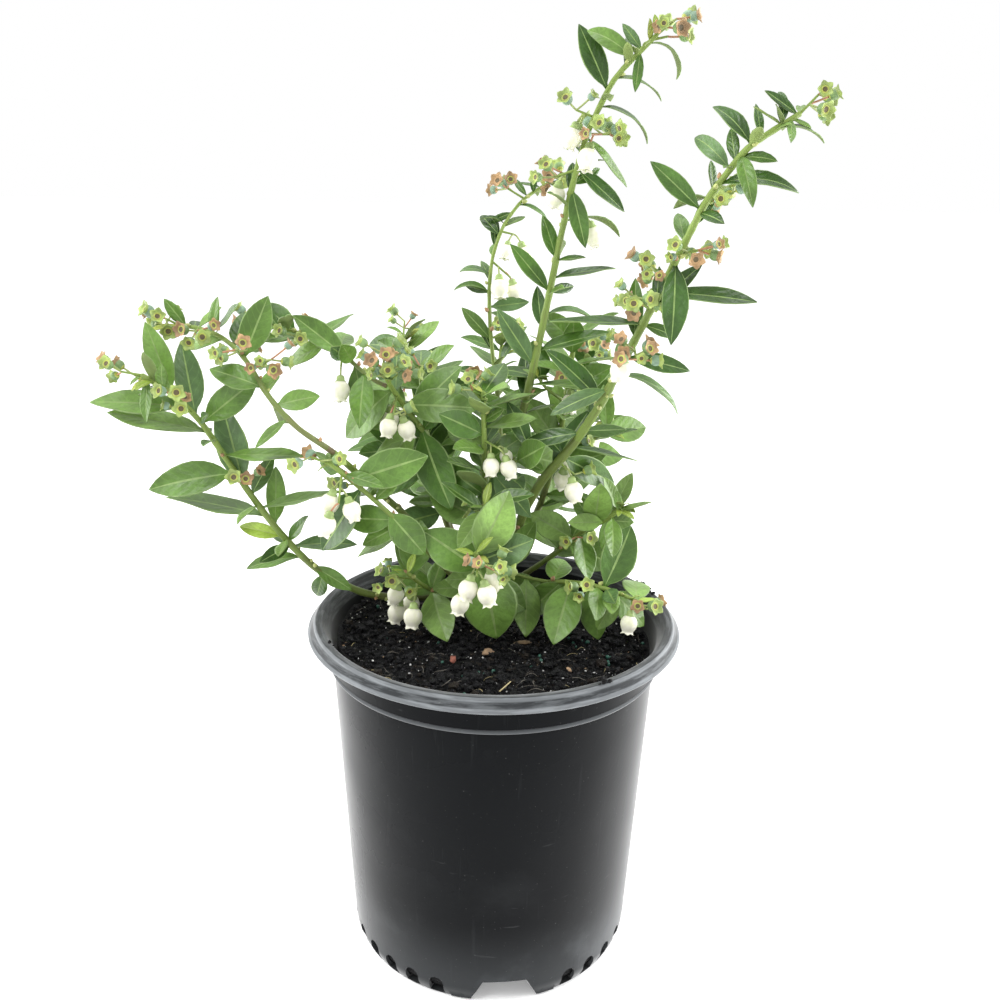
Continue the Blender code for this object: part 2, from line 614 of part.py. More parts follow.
def arch_cutter(bm, turn):
    """A small round-topped window through the foot of the wall."""
    half = ARCH_WIDTH / 2
    outline = [(-half, ARCH_LOW), (half, ARCH_LOW)]
    outline += [(half * cos(pi * i / 4), ARCH_HEIGHT - half + half * sin(pi * i / 4)) for i in range(5)]
    face = bm.faces.new([bm.verts.new((ARCH_INNER, y, z)) for y, z in outline])
    made = bmesh.ops.extrude_face_region(bm, geom=[face])
    moved = [item for item in made["geom"] if isinstance(item, bmesh.types.BMVert)]
    bmesh.ops.translate(bm, verts=moved, vec=(NOTCH_OUTER - ARCH_INNER, 0, 0))
    bmesh.ops.rotate(bm, verts=bm.verts, matrix=Matrix.Rotation(turn, 3, "Z"))


def channel_turns():
    return [CHANNEL_TURN + 2 * pi * i / CHANNELS for i in range(CHANNELS)]


def helper_collection(name, builds):
    """A collection of closed helper shapes that a Boolean reads and a render leaves out."""
    collection = bpy.data.collections.new(name)
    bpy.context.scene.collection.children.link(collection)
    for i, build in enumerate(builds):
        helper = add_object(f"{name}_{i}", mesh_from(name, build), None, collection)
        helper.hide_render = True
        helper.display_type = "WIRE"
    return collection


def boolean(obj, name, operation, collection):
    modifier = obj.modifiers.new(name, "BOOLEAN")
    modifier.operation = operation
    modifier.operand_type = "COLLECTION"
    modifier.collection = collection
    modifier.solver = "EXACT"


def make_pot():
    pot = add_object("pot", mesh_from("pot", lambda bm: turned_profile(bm, pot_outline(), POT_STEPS)),
                     principled("black_plastic", (0.018, 0.019, 0.021), 0.42))
    covers = [lambda bm, turn=turn: channel_cover(bm, turn) for turn in channel_turns()]
    cuts = [lambda bm, turn=turn: channel_cutter(bm, turn) for turn in channel_turns()]
    for turn in channel_turns():
        for i in range(ARCHES_BETWEEN):
            cuts.append(lambda bm, at=turn + ARCH_FIRST + i * ARCH_STEP: arch_cutter(bm, at))
    boolean(pot, "channel covers", "UNION", helper_collection("cover", covers))
    boolean(pot, "channels and arches", "DIFFERENCE", helper_collection("notch", cuts))
    return pot


def make_soil():
    """The potting mix: it fills the pot to a gap, is gently mounded, and leaves room for the channels."""
    low, high = WALL_LOW_RADIUS - POT_WALL - GAP, WALL_HIGH_RADIUS - POT_WALL - GAP
    outline = [(0.0, FLOOR + GAP), (FOOT_RADIUS - POT_WALL - GAP, FLOOR + GAP), (low, FOOT_BEND),
               (high, COLLAR_LOW - 0.0024), (high, SOIL_EDGE), SOIL_ROUND, (SOIL_FLAT_RADIUS, SOIL_TOP),
               (0.0, SOIL_TOP)]
    soil = add_object("soil", mesh_from("soil", lambda bm: turned_profile(bm, outline, SOIL_STEPS)),
                      principled("potting_mix", (0.012, 0.009, 0.008), 0.95))
    rooms = [lambda bm, turn=turn: channel_cover(bm, turn, GAP) for turn in channel_turns()]
    boolean(soil, "room for channels", "DIFFERENCE", helper_collection("room", rooms))
    return soil


def make_stump():
    """The short woody stump in the middle of the crown, flared to a flat cut at the soil."""
    def build(bm):
        radius = CROWN_RADIUS
        base = SOIL_TOP + GAP - CROWN.z
        outline = [(0.0, base), (radius * 1.02, base), (radius * 0.94, 0.0010)]
        outline += [(radius * cos(radians(a)), radius * sin(radians(a))) for a in (25, 50, 72)]
        outline.append((0.0, radius))
        turned_profile(bm, outline, STUMP_STEPS)
        bmesh.ops.translate(bm, verts=bm.verts, vec=CROWN)
    return add_object("stump", mesh_from("stump", build), principled("old_wood", (0.16, 0.11, 0.06), 0.85))


def solid_mesh(name, solid):
    verts, faces = solid
    mesh = bpy.data.meshes.new(name)
    mesh.from_pydata([tuple(point) for point in verts], [], faces)
    bm = bmesh.new()
    bm.from_mesh(mesh)
    bmesh.ops.recalc_face_normals(bm, faces=bm.faces)
    bm.to_mesh(mesh)
    bm.free()
    return mesh


def keep_main_body(fused, flat_angle):
    """Drops loose scraps and the walls of sealed hollows, so that only the widest body stays.

    Faces that lie within the flat angle of each other are merged. Gives back None if that leaves
    the mesh open.
    """
    bm = bmesh.new()
    bm.from_mesh(fused)
    bodies, seen = [], set()
    for face in bm.faces:
        if face in seen:
            continue
        body, queue = [], [face]
        seen.add(face)
        while queue:
            item = queue.pop()
            body.append(item)
            for edge in item.edges:
                for other in edge.link_faces:
                    if other not in seen:
                        seen.add(other)
                        queue.append(other)
        bodies.append(body)
    bodies.sort(key=len)
    for body in bodies[:-1]:
        bmesh.ops.delete(bm, geom=body, context="FACES")
    loose = [vert for vert in bm.verts if not vert.link_faces]
    bmesh.ops.delete(bm, geom=loose, context="VERTS")
    bmesh.ops.dissolve_limit(bm, angle_limit=flat_angle, verts=bm.verts, edges=bm.edges)
    bmesh.ops.triangulate(bm, faces=bm.faces)
    tidied = bpy.data.meshes.new(fused.name) if all(edge.is_manifold for edge in bm.edges) else None
    if tidied:
        bm.to_mesh(tidied)
    bm.free()
    return tidied


def join_mass(node, solids, material):
    """Fuses a stem with its twigs, leaves, bells and fruits into one closed body."""
    obj = add_object(node, solid_mesh(node, solids[0]))
    parts = bpy.data.collections.new(node)
    bpy.context.scene.collection.children.link(parts)
    for i, solid in enumerate(solids[1:]):
        add_object(f"{node}_{i}", solid_mesh(f"{node}_{i}", solid), None, parts)
    boolean(obj, "join", "UNION", parts)
    bpy.context.view_layer.update()
    graph = bpy.context.evaluated_depsgraph_get()
    fused = bpy.data.meshes.new_from_object(obj.evaluated_get(graph))
    obj.modifiers.clear()
    obj.data = next(filter(None, (keep_main_body(fused, angle) for angle in FLAT_ANGLES)))
    obj.data.materials.append(material)
    for part in list(parts.objects):
        bpy.data.objects.remove(part, do_unlink=True)
    bpy.data.collections.remove(parts)


def make_bush():
    bush = grow()
    bark = principled("cane_bark", (0.24, 0.30, 0.09), 0.55)
    foliage = principled("leaf_green", (0.075, 0.19, 0.055), 0.45)
    for limb in bush.limbs:
        if limb.kind == "cane":
            cane = tube_solid(limb.points, limb.thick, CANE_SIDES)
            add_object(limb.node, solid_mesh(limb.node, cane), bark)
    sides = {"stem": STEM_SIDES, "twig": TWIG_SIDES, "stalk": TWIG_SIDES}
    for name in SHOOTS:
        node = "shoot_" + name
        solids = [tube_solid(limb.points, limb.thick, sides[limb.kind]) for limb in bush.limbs
                  if limb.node == node]
        solids += [flower_solid(flower) for flower in bush.flowers if flower.node == node]
        solids += [leaf_solid(leaf) for leaf in bush.leaves if leaf.node == node]
        join_mass(node, solids, foliage)


def main():
    clear_scene()
    make_pot()
    make_soil()
    make_stump()
    make_bush()


if __name__ == "__main__":
    main()
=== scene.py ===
"""The looks of a young blueberry bush in flower and green fruit, in its round black nursery pot.

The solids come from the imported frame. The bush grows here by the same rule as the solids and is then
carried on to leaves, bells, green fruits and twigs at their real size, within the same reach.
"""

import random
import re
from collections import namedtuple
from math import atan2, cos, hypot, pi, radians, sin

import bmesh
import bpy
import numpy as np
from mathutils import Matrix, Vector, noise
from mathutils.bvhtree import BVHTree


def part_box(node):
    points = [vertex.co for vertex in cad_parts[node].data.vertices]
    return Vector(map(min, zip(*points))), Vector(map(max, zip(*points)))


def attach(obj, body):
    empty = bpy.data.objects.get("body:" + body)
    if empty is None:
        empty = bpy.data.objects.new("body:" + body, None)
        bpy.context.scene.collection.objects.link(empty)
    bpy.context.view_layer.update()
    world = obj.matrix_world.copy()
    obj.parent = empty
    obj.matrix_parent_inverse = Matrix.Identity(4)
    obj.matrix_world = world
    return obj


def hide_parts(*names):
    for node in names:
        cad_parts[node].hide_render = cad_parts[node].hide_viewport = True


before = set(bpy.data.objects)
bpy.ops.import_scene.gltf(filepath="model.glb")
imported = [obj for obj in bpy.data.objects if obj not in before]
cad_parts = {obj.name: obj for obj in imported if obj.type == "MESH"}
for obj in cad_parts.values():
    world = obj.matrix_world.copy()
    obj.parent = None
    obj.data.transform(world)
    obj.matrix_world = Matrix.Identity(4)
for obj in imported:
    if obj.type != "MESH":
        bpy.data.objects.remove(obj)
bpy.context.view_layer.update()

# Pot
POT_HEIGHT = 0.160
POT_WALL = 0.0015
FOOT_RADIUS = 0.0637
WALL_LOW_RADIUS = 0.0659
WALL_HIGH_RADIUS = 0.0730
COLLAR_LOW = 0.1400
COLLAR_RADIUS = 0.0748
LIP_RADIUS = 0.0840
LIP_INNER_RADIUS = 0.0768
LIP_SKIRT_LOW = 0.1540
FLOOR = 0.0020
FOOT_BEND = 0.006

# Drain channels and arches round the foot
CHANNELS = 3
CHANNEL_TURN = radians(276.5)
CHANNEL_HALF_BASE = 0.0195
CHANNEL_HALF_TOP = 0.0112
CHANNEL_HEIGHT = 0.0150
CHANNEL_END = 0.030
COVER_INNER = 0.020
COVER_OUTER = 0.0646
COVER_HALF = radians(21)
COVER_THICKNESS = 0.0018
NOTCH_OUTER = 0.075
NOTCH_LOW = -0.002
ARCHES_BETWEEN = 7
ARCH_FIRST = radians(27)
ARCH_STEP = radians(11)
ARCH_WIDTH = 0.0070
ARCH_HEIGHT = 0.0102
ARCH_LOW = 0.0009
ARCH_INNER = 0.0601

# Potting mix
SOIL_TOP = 0.1480
SOIL_EDGE = 0.1450
SOIL_FLAT_RADIUS = 0.056
GAP = 0.0004

# Bush: the stump in the middle of the crown, from which every cane rises
SEED = 11
CROWN = Vector((-0.005, 0.038, 0.152))
CROWN_RADIUS = 0.0095
GROUND_CLEAR = 0.0012
MIX_EDGE = 0.0708
TWIG_CLEAR = 0.0003
LEAF_CLEAR = 0.0005
PATH_STEPS, CANE_STEPS, STEM_STEPS = 40, 4, 8
CANE_SIDES = 5
TWIG_THICK = (0.0018, 0.0012)

# Leaf: how thick it is as a share of its length, its stalk, how much leaves crowd towards a tip, and
# how often another turn is tried
LEAF_THICKNESS = 0.028
SMALL_LEAF = 0.0225
PETIOLE = 0.0025
TIP_CROWD = 1.3
LEAF_TRIES = 13
TRY_TURN = 14
MOST_ROLL = 22
ARCH_RANGE = (6, 34)
MORE_ARCH = 55

# Flower truss: its stalk, and the bells and green fruits on their pedicels
STALK_THICK = (0.0011, 0.0009)
STALK_LENGTH = 0.0040
STALK_PER_FLOWER = 0.0022
STALK_BEND = 0.0008
PEDICEL_THICK = 0.0009
BELL_LENGTH = 0.0112
FRUIT_LENGTH = 0.0058
FLOWER_TRIES = 10
# Outline of a bell and of a green fruit: shares of the length along, and radii as shares of it
BELL = ((0.02, 0.15), (0.50, 0.35), (1.0, 0.22))
FRUIT = ((0.0, 0.26), (1.0, 0.60))

# A cane: its whole length, its thickness at foot and tip, its leans from upright and its headings
# (0 right, 90 back, 180 left, 270 front) from foot to tip, and the share of it that is bare.
Cane = namedtuple("Cane", "length thick leans headings bare grows_from", defaults=[None])
CANES = {
    "low_left": Cane(0.207, (0.0040, 0.0020), (84, 82, 62, 38, 30, 28, 62),
                     (190, 218, 211, 202, 194, 191, 196), 0.41),
    "mid_left": Cane(0.126, (0.0036, 0.0028), (60, 30, 48, 54), (212, 214, 220, 256), 1.0),
    "outer_left": Cane(0.100, (0.0026, 0.0016), (54, 52, 51, 68, 93), (250, 157, 127, 146, 177),
                       0.20, ("mid_left", 1.0)),
    "mid_left_lower": Cane(0.130, (0.0028, 0.0018), (62, 50, 40, 51), (240, 250, 208, 184), 0.62),
    "upper_left": Cane(0.134, (0.0034, 0.0020), (32, 6, 38, 40), (226, 224, 204, 246), 0.62),
    "flat_left": Cane(0.063, (0.0020, 0.0012), (74, 58, 68, 84), (168, 140, 174, 186),
                      0.16, ("upper_left", 0.93)),
    "slender": Cane(0.212, (0.0026, 0.0014), (26, 15, 11, 13, 8, 25, 73), (70, 62, 91, 140, 111, 28, 30),
                    0.42),
    "tall": Cane(0.268, (0.0044, 0.0018), (4, 15, 20, 12, 10, 17, 55), (350, 312, 302, 327, 335, 334, 352),
                 0.34),
    "right": Cane(0.270, (0.0050, 0.0020), (38, 22, 41, 30, 24, 25, 72),
                  (318, 300, 328, 309, 338, 328, 390), 0.30),
    "front": Cane(0.082, (0.0032, 0.0022), (66, 60, 50, 40), (274, 270, 264, 260), 0.40),
    "front_left": Cane(0.066, (0.0028, 0.0018), (80, 62, 46), (226, 236, 242), 0.40),
    "low_right": Cane(0.088, (0.0030, 0.0018), (58, 50, 44, 56), (340, 336, 334, 340), 0.46),
    "rim_right": Cane(0.092, (0.0028, 0.0016), (68, 60, 82, 106), (306, 318, 328, 332), 0.40),
    "centre_left": Cane(0.120, (0.0034, 0.0020), (36, 18, 8, 4), (176, 190, 200, 210), 0.34),
    "centre": Cane(0.118, (0.0034, 0.0020), (42, 24, 8, 4), (272, 270, 262, 250), 0.34),
    "centre_right": Cane(0.138, (0.0034, 0.0020), (38, 22, 8, 6), (366, 350, 336, 320), 0.34),
    "back_left": Cane(0.142, (0.0032, 0.0018), (54, 36, 26, 24), (130, 126, 122, 118), 0.34),
    "back": Cane(0.138, (0.0032, 0.0018), (54, 42, 30, 28), (88, 88, 84, 80), 0.34),
    "back_right": Cane(0.132, (0.0032, 0.0018), (56, 40, 28, 22), (34, 46, 56, 62), 0.34),
}

# A shoot: the leafy end of a cane, which is one mass. Its leaves stand along it in order, closer towards
# the tip, and shrink from the first size to the last. A word places each: the side it points to, in
# capitals where its face turns to the front, then its rise in degrees, then + for a long leaf, a dot
# for a short one, ~ for a strongly arched one. A number in place of words deals leaves out by seed,
# each turned on by the golden angle. Twigs are (share of the shoot, side and rise, length, leaves).
# Trusses are (share, side and rise, bells, green fruits).
Shoot = namedtuple("Shoot", "leaves sizes slim twigs trusses", defaults=[(), ()])
SHOOTS = {
    "low_left": Shoot(
        "F-75. R-35. l-8 r6 L8. b62 l14+++ r14++ R58. L74++ L-8++ b30 r8++ f20. l12+++ R38+ L86+ l4+++ "
        "R78+ L72+ L45 f60. f-50. L30.", (0.026, 0.024), 0.37, (),
        ((0.50, "f10", 0, 1), (0.80, "f15", 0, 1), (0.86, "f30", 0, 2), (1.0, "l-2", 0, 2))),
    "outer_left": Shoot(
        "l-40. R12. L25 f-10 R66+ b40 l5 R85. br40. L50. f-40.", (0.024, 0.017), 0.44, (),
        ((0.42, "r20", 0, 2), (0.55, "f10", 0, 2), (0.86, "f-20", 0, 2), (0.97, "l20", 0, 1),
         (1.0, "l-10", 0, 2))),
    "mid_left_lower": Shoot(
        "l-30 L-8 R-60 L40. b10 L-58++ R15++ r-5. l10 F-60.", (0.022, 0.023), 0.46,
        ((0.45, "bl35", 0.030, "l-5+ L78 br40+ R-40+ R55 b60 f70."),),
        ((0.62, "bl20", 0, 2), (0.86, "f-30", 4, 0), (0.98, "l10", 0, 2))),
    "upper_left": Shoot(
        "r20 L15 R-30 F-78++ L-36++ R55+ bl20+ R15+ r0 b50 L-45+ bl60 R62+ br40 f40",
        (0.027, 0.024), 0.42, (),
        ((0.72, "f-10", 3, 1), (0.84, "f35", 0, 3), (0.97, "f55", 0, 3), (0.90, "r30", 0, 1))),
    "flat_left": Shoot(
        "f-35+ F-70 l20+ b10+ L-28 br30 l-4+ L32 f20 bl10. l30.", (0.024, 0.017), 0.46, (),
        ((0.35, "f-40", 1, 0), (0.78, "f-30", 0, 2), (1.0, "l10", 0, 1))),
    "slender": Shoot(
        "l40 r-30 r0 bl60 L45 r10~. R5 l30~ l20~ F-40. b60 L35~ l30~. L-20. r-10~ L40~. F30. l15. r30.",
        (0.020, 0.013), 0.34, (),
        ((0.10, "l30", 0, 3), (0.30, "r20", 0, 1), (0.60, "r-30", 3, 0), (0.72, "r-5", 1, 0),
         (0.88, "l20", 0, 2), (0.97, "r25", 0, 3))),
    "tall": Shoot(
        "l20 b50 r10+ L55 r18+ L74. r12~ L50 r14 L72. b-10 r5~+ l40. R-65 R-38+ b20 r-46+ L-45+ r-14~+ "
        "L63+ r-2~ R70~. L35~ F-80. r-10~~ R60.", (0.027, 0.019), 0.31, (),
        ((0.57, "r-10", 1, 0), (0.66, "l-10", 1, 1), (0.74, "r15", 1, 3), (0.78, "l30", 1, 1),
         (0.985, "r5", 0, 1), (1.0, "r30", 0, 2))),
    "right": Shoot(
        "R60 R-45+ r-10 L-15 b20 L45+ L-8 r-12~+ R-12 L84 l3++ R42 r3+++ L44+ R-66++ b30 R50. L38+ b-20 "
        "r9~++ L38~ F-35~ L52~ b55. r12~ R85~. f-50. L30.", (0.028, 0.019), 0.30, (),
        ((0.06, "r-30", 1, 1), (0.42, "f-5", 1, 3), (0.50, "fl20", 0, 3), (0.58, "l15", 0, 3),
         (0.63, "r0", 0, 3), (0.74, "r10", 0, 3), (1.0, "r40", 0, 2))),
    "front": Shoot(
        "b30 l10 R-35 L-20. R-72+ L34+ L-64+++ R22 R60++ b20", (0.022, 0.022), 0.58, (),
        ((0.62, "fl-5", 3, 0), (0.88, "f-5", 3, 0), (0.95, "fr-5", 1, 2))),
    "front_left": Shoot(
        "bl30 L20 F-40 L-28 f10 bl60 R50 L-5", (0.025, 0.023), 0.50, (),
        ((0.55, "l-5", 2, 0), (0.85, "l15", 1, 2), (0.75, "f-20", 1, 0))),
    "low_right": Shoot(
        "R30 b20 R-25 L30 F-40 r10 L55. R-8. R-70 br50 l70. f20.", (0.024, 0.019), 0.50,
        ((0.55, "fr30", 0.024, "R60 L20. f-30 r20."),), ((0.40, "f10", 0, 2),)),
    "rim_right": Shoot(
        "L-30+ R-40 b30 L-50 F-60+ br10 R-70 F-20. R75+ R-48 L-70. F-80+ R-60 b-20", (0.024, 0.024), 0.50,
        ((0.18, "l10", 0.022, "L-40 F-70 l20. b10"),), ((0.62, "fl0", 0, 2), (0.92, "fr0", 1, 2))),
    "centre_left": Shoot(22, (0.025, 0.020), 0.47, ((0.35, "l30", 0.026, 6), (0.6, "fl25", 0.022, 5)),
                         ((0.55, "l10", 0, 2), (0.95, "f30", 0, 2))),
    "centre": Shoot(22, (0.025, 0.021), 0.48, ((0.25, "f20", 0.024, 5), (0.5, "r25", 0.024, 5)),
                    ((0.35, "f-10", 1, 4), (0.72, "fr0", 2, 0), (0.95, "l40", 0, 1))),
    "centre_right": Shoot(22, (0.026, 0.021), 0.46, ((0.4, "r15", 0.026, 6), (0.66, "fl30", 0.024, 5)),
                          ((0.45, "fr10", 1, 1), (0.78, "f10", 1, 3), (0.95, "r30", 0, 2))),
    "back_left": Shoot(20, (0.026, 0.021), 0.44, ((0.4, "l20", 0.026, 5),),
                       ((0.7, "l10", 1, 1), (1.0, "b30", 0, 2))),
    "back": Shoot(20, (0.026, 0.021), 0.44, ((0.45, "b20", 0.026, 5),),
                  ((0.6, "b0", 2, 0), (1.0, "b30", 0, 1))),
    "back_right": Shoot(20, (0.026, 0.021), 0.44, ((0.4, "br20", 0.026, 5),),
                        ((0.65, "r10", 1, 1), (1.0, "br30", 0, 2))),
}

Limb = namedtuple("Limb", "node kind points thick")
Leaf = namedtuple("Leaf", "node root along face length width arch")
Flower = namedtuple("Flower", "node kind stalk root aim size")

SIDES = {"r": Vector((1, 0, 0)), "b": Vector((0, 1, 0)), "l": Vector((-1, 0, 0)), "f": Vector((0, -1, 0))}
TO_VIEWER = Vector((0, -0.92, 0.38))
LEAF_FACE = Vector((0, -0.35, 0.90))
UP = Vector((0, 0, 1))
GOLDEN = radians(137.5)


def between(values, share):
    """The value at a share of the way through evenly spaced values."""
    place = min(max(share, 0.0), 1.0) * (len(values) - 1)
    i = min(int(place), len(values) - 2)
    return values[i] + (values[i + 1] - values[i]) * (place - i)


def heading_vector(side, rise):
    """A unit direction: letters for the sides it points to, and its rise from the level."""
    flat = sum((SIDES[letter] for letter in side.lower()), Vector()).normalized()
    return flat * cos(rise) + UP * sin(rise)


def walk(start, length, leans, headings, steps):
    """Points along a limb whose lean and heading change evenly between their values."""
    points = [Vector(start)]
    for i in range(steps):
        lean = radians(between(leans, (i + 0.5) / steps))
        turn = radians(between(headings, (i + 0.5) / steps))
        step = Vector((sin(lean) * cos(turn), sin(lean) * sin(turn), cos(lean)))
        points.append(points[-1] + step * (length / steps))
    return points


def along(points, share):
    """The point and the direction at a share of a limb's length."""
    place = min(max(share, 0.0), 1.0) * (len(points) - 1)
    i = min(int(place), len(points) - 2)
    return points[i].lerp(points[i + 1], place - i), (points[i + 1] - points[i]).normalized()


def stretch(points, first, last, steps):
    """Evenly spaced points from one share of a limb to another."""
    return [along(points, first + (last - first) * i / steps)[0] for i in range(steps + 1)]


def square_to(direction, axis):
    """The part of a direction that is square to an axis, one metre long."""
    rest = direction - axis * direction.dot(axis)
    return rest.normalized() if rest.length > 1e-6 else axis.orthogonal().normalized()


def leaf_spine(leaf, share):
    """The midrib's point, its direction and the leaf's face there."""
    bend = leaf.arch * share
    if abs(leaf.arch) < 1e-4:
        reach, sag = leaf.length * share, 0.0
    else:
        reach = leaf.length * sin(bend) / leaf.arch
        sag = leaf.length * (1 - cos(bend)) / leaf.arch
    ahead = leaf.along * cos(bend) - leaf.face * sin(bend)
    face = leaf.face * cos(bend) + leaf.along * sin(bend)
    return leaf.root + leaf.along * reach - leaf.face * sag, ahead, face


def leaf_section(leaf, share, half_width, keel, grow):
    """Left edge, right edge and the keel under the midrib at a share of the leaf."""
    point, ahead, face = leaf_spine(leaf, share)
    edge = ahead.cross(face) * (half_width + grow)
    top = point + face * grow
    return [top - edge, top + edge, point - face * (keel + grow)]


def leaf_solid(leaf, grow=0.0, root=0.0):
    """Points and faces of a thin closed leaf: a root point, keeled sections and a tip point."""
    keel = leaf.length * LEAF_THICKNESS
    half = leaf.width / 2
    points = [leaf_spine(leaf, root)[0]]
    sections = ((0.50, 1.0),) if leaf.length < SMALL_LEAF else ((0.36, 0.96), (0.72, 0.74))
    for share, width in sections:
        points += leaf_section(leaf, max(share, root + 0.05), half * width, keel, grow)
    tip, ahead, _ = leaf_spine(leaf, 1.0)
    points.append(tip + ahead * grow)
    last = len(points) - 1
    faces = []
    for i in range(3):
        n = (i + 1) % 3
        faces += [(0, 1 + n, 1 + i), (last, last - 3 + i, last - 3 + n)]
        if len(sections) > 1:
            faces += [(1 + i, 1 + n, 4 + n), (1 + i, 4 + n, 4 + i)]
    return points, faces


def tube_solid(points, thick, sides, grow=0.0):
    """Points and faces of a tapering closed tube along a path, with flat ends."""
    ahead = (points[1] - points[0]).normalized()
    across = ahead.orthogonal().normalized()
    verts, faces = [], []
    for i, point in enumerate(points):
        before = points[max(i - 1, 0)]
        after = points[min(i + 1, len(points) - 1)]
        ahead = (after - before).normalized()
        across = square_to(across, ahead)
        other = ahead.cross(across)
        radius = (thick[0] + (thick[1] - thick[0]) * i / (len(points) - 1)) / 2 + grow
        for k in range(sides):
            angle = 2 * pi * k / sides
            verts.append(point + (across * cos(angle) + other * sin(angle)) * radius)
    for i in range(len(points) - 1):
        for k in range(sides):
            a, b = i * sides + k, i * sides + (k + 1) % sides
            faces += [(a, b, b + sides), (a, b + sides, a + sides)]
    last = (len(points) - 1) * sides
    for k in range(1, sides - 1):
        faces += [(0, k + 1, k), (last, last + k, last + k + 1)]
    return verts, faces


def flower_solid(flower, grow=0.0, pedicel=True):
    """Points and faces of a closed bell or green fruit on its pedicel, along its aim."""
    outline, sides = (BELL, 5) if flower.kind == "bell" else (FRUIT, 4)
    across = flower.aim.orthogonal().normalized()
    other = flower.aim.cross(across)
    spokes = [across * cos(2 * pi * k / sides) + other * sin(2 * pi * k / sides) for k in range(sides)]
    verts, faces = [], []
    if pedicel:
        verts += [flower.stalk + spoke * (PEDICEL_THICK / 2 + grow) for spoke in spokes]
    for share, radius in outline:
        middle = flower.root + flower.aim * flower.size * share
        verts += [middle + spoke * (radius * flower.size + grow) for spoke in spokes]
    rings = len(verts) // sides
    for i in range(rings - 1):
        for k in range(sides):
            a, b = i * sides + k, i * sides + (k + 1) % sides
            faces += [(a, b, b + sides), (a, b + sides, a + sides)]
    last = (rings - 1) * sides
    for k in range(1, sides - 1):
        faces += [(0, k + 1, k), (last, last + k, last + k + 1)]
    return verts, faces


class Bush:
    """Everything the growth rule has laid out, and the room that it takes."""

    def __init__(self):
        self.limbs, self.leaves, self.flowers, self.taken = [], [], [], []

    def blocked(self, solid, skip=None):
        """Whether a solid would touch the pot, the potting mix or anything laid out but one owner."""
        verts, faces = solid
        for point in verts:
            floor = SOIL_TOP if hypot(point.x, point.y) < MIX_EDGE else POT_HEIGHT
            if point.z < floor + GROUND_CLEAR:
                return True
        middle = sum(verts, Vector()) / len(verts)
        reach = max((point - middle).length for point in verts)
        tree = BVHTree.FromPolygons(verts, faces)
        for owner, centre, size, other in self.taken:
            if owner is not skip and (centre - middle).length < size + reach and other.overlap(tree):
                return True
        return False

    def take(self, owner, solid):
        verts, faces = solid
        middle = sum(verts, Vector()) / len(verts)
        reach = max((point - middle).length for point in verts)
        self.taken.append((owner, middle, reach, BVHTree.FromPolygons(verts, faces)))

    def add_limb(self, limb, parent=None, root=0):
        """Keeps a limb, unless it touches another. The first points, in the parent, aren't tried."""
        if parent is not None:
            tried = tube_solid(limb.points[root:], limb.thick, CANE_SIDES, TWIG_CLEAR)
            if self.blocked(tried, parent):
                return False
        self.limbs.append(limb)
        self.take(limb, tube_solid(limb.points, limb.thick, CANE_SIDES, TWIG_CLEAR))
        return True

    def add_leaf(self, leaf, limb):
        """Keeps a leaf, unless it touches anything. Its foot may touch its own limb."""
        if self.blocked(leaf_solid(leaf, LEAF_CLEAR, 0.22), None):
            return False
        if self.blocked(leaf_solid(leaf, LEAF_CLEAR), limb):
            return False
        self.leaves.append(leaf)
        self.take(leaf, leaf_solid(leaf, LEAF_CLEAR))
        return True


def parse_word(word):
    """Side, rise, facing the front or not, size and arch of a leaf's word."""
    side, rise, marks = re.fullmatch(r"([lrfbLRFB]+)(-?\d+)([+.~]*)", word).groups()
    size = 1.0 + 0.2 * marks.count("+") - 0.3 * marks.count(".")
    return side.lower(), radians(int(rise)), side.isupper(), size, marks.count("~")


def dealt_leaves(count, limb, rng):
    """Leaves dealt out by seed: each turned on from the last, rising a little over the limb."""
    turn = rng.uniform(0, 2 * pi)
    found = []
    for i in range(count):
        turn += GOLDEN + rng.uniform(-0.35, 0.35)
        ahead = along(limb.points, (i + 0.5) / count)[1]
        flat = square_to(Vector((cos(turn), sin(turn), 0)), ahead)
        lift = radians(rng.uniform(5, 50))
        found.append((flat * cos(lift) + ahead * sin(lift), rng.random() < 0.35, 1.0, 0))
    return found


def worded_leaves(words):
    found = []
    for word in words.split():
        side, rise, front, size, arched = parse_word(word)
        found.append((heading_vector(side, rise), front, size, arched))
    return found


def grow_leaves(bush, limb, leaves, sizes, slim, rng):
    """Sets leaves along a limb. One that is blocked tries other turns, and is then left out."""
    if isinstance(leaves, str):
        wanted = worded_leaves(leaves)
    else:
        wanted = dealt_leaves(leaves, limb, rng)
    count = len(wanted)
    for i, (aim, front, scale, arched) in enumerate(wanted):
        share = 1 - (1 - min((i + 0.6 + rng.uniform(-0.15, 0.15)) / count, 0.99)) ** TIP_CROWD
        root, ahead = along(limb.points, share)
        length = between(sizes, share) * scale * rng.uniform(0.94, 1.06)
        width = length * slim * (1.15 if front else 0.95) * rng.uniform(0.9, 1.08)
        arch = radians(rng.uniform(*ARCH_RANGE) + MORE_ARCH * arched)
        roll = radians(rng.uniform(-MOST_ROLL, MOST_ROLL))
        for tries in range(LEAF_TRIES):
            shift = radians(((tries + 1) // 2) * TRY_TURN * (-1) ** tries)
            turned = Matrix.Rotation(shift, 3, ahead) @ aim
            turned.z += sin(arch / 2) * 0.5
            turned.normalize()
            face = square_to(TO_VIEWER if front else LEAF_FACE, turned)
            face = Matrix.Rotation(roll, 3, turned) @ face
            if bush.add_leaf(Leaf(limb.node, root, turned, face, length + PETIOLE, width, arch), limb):
                break


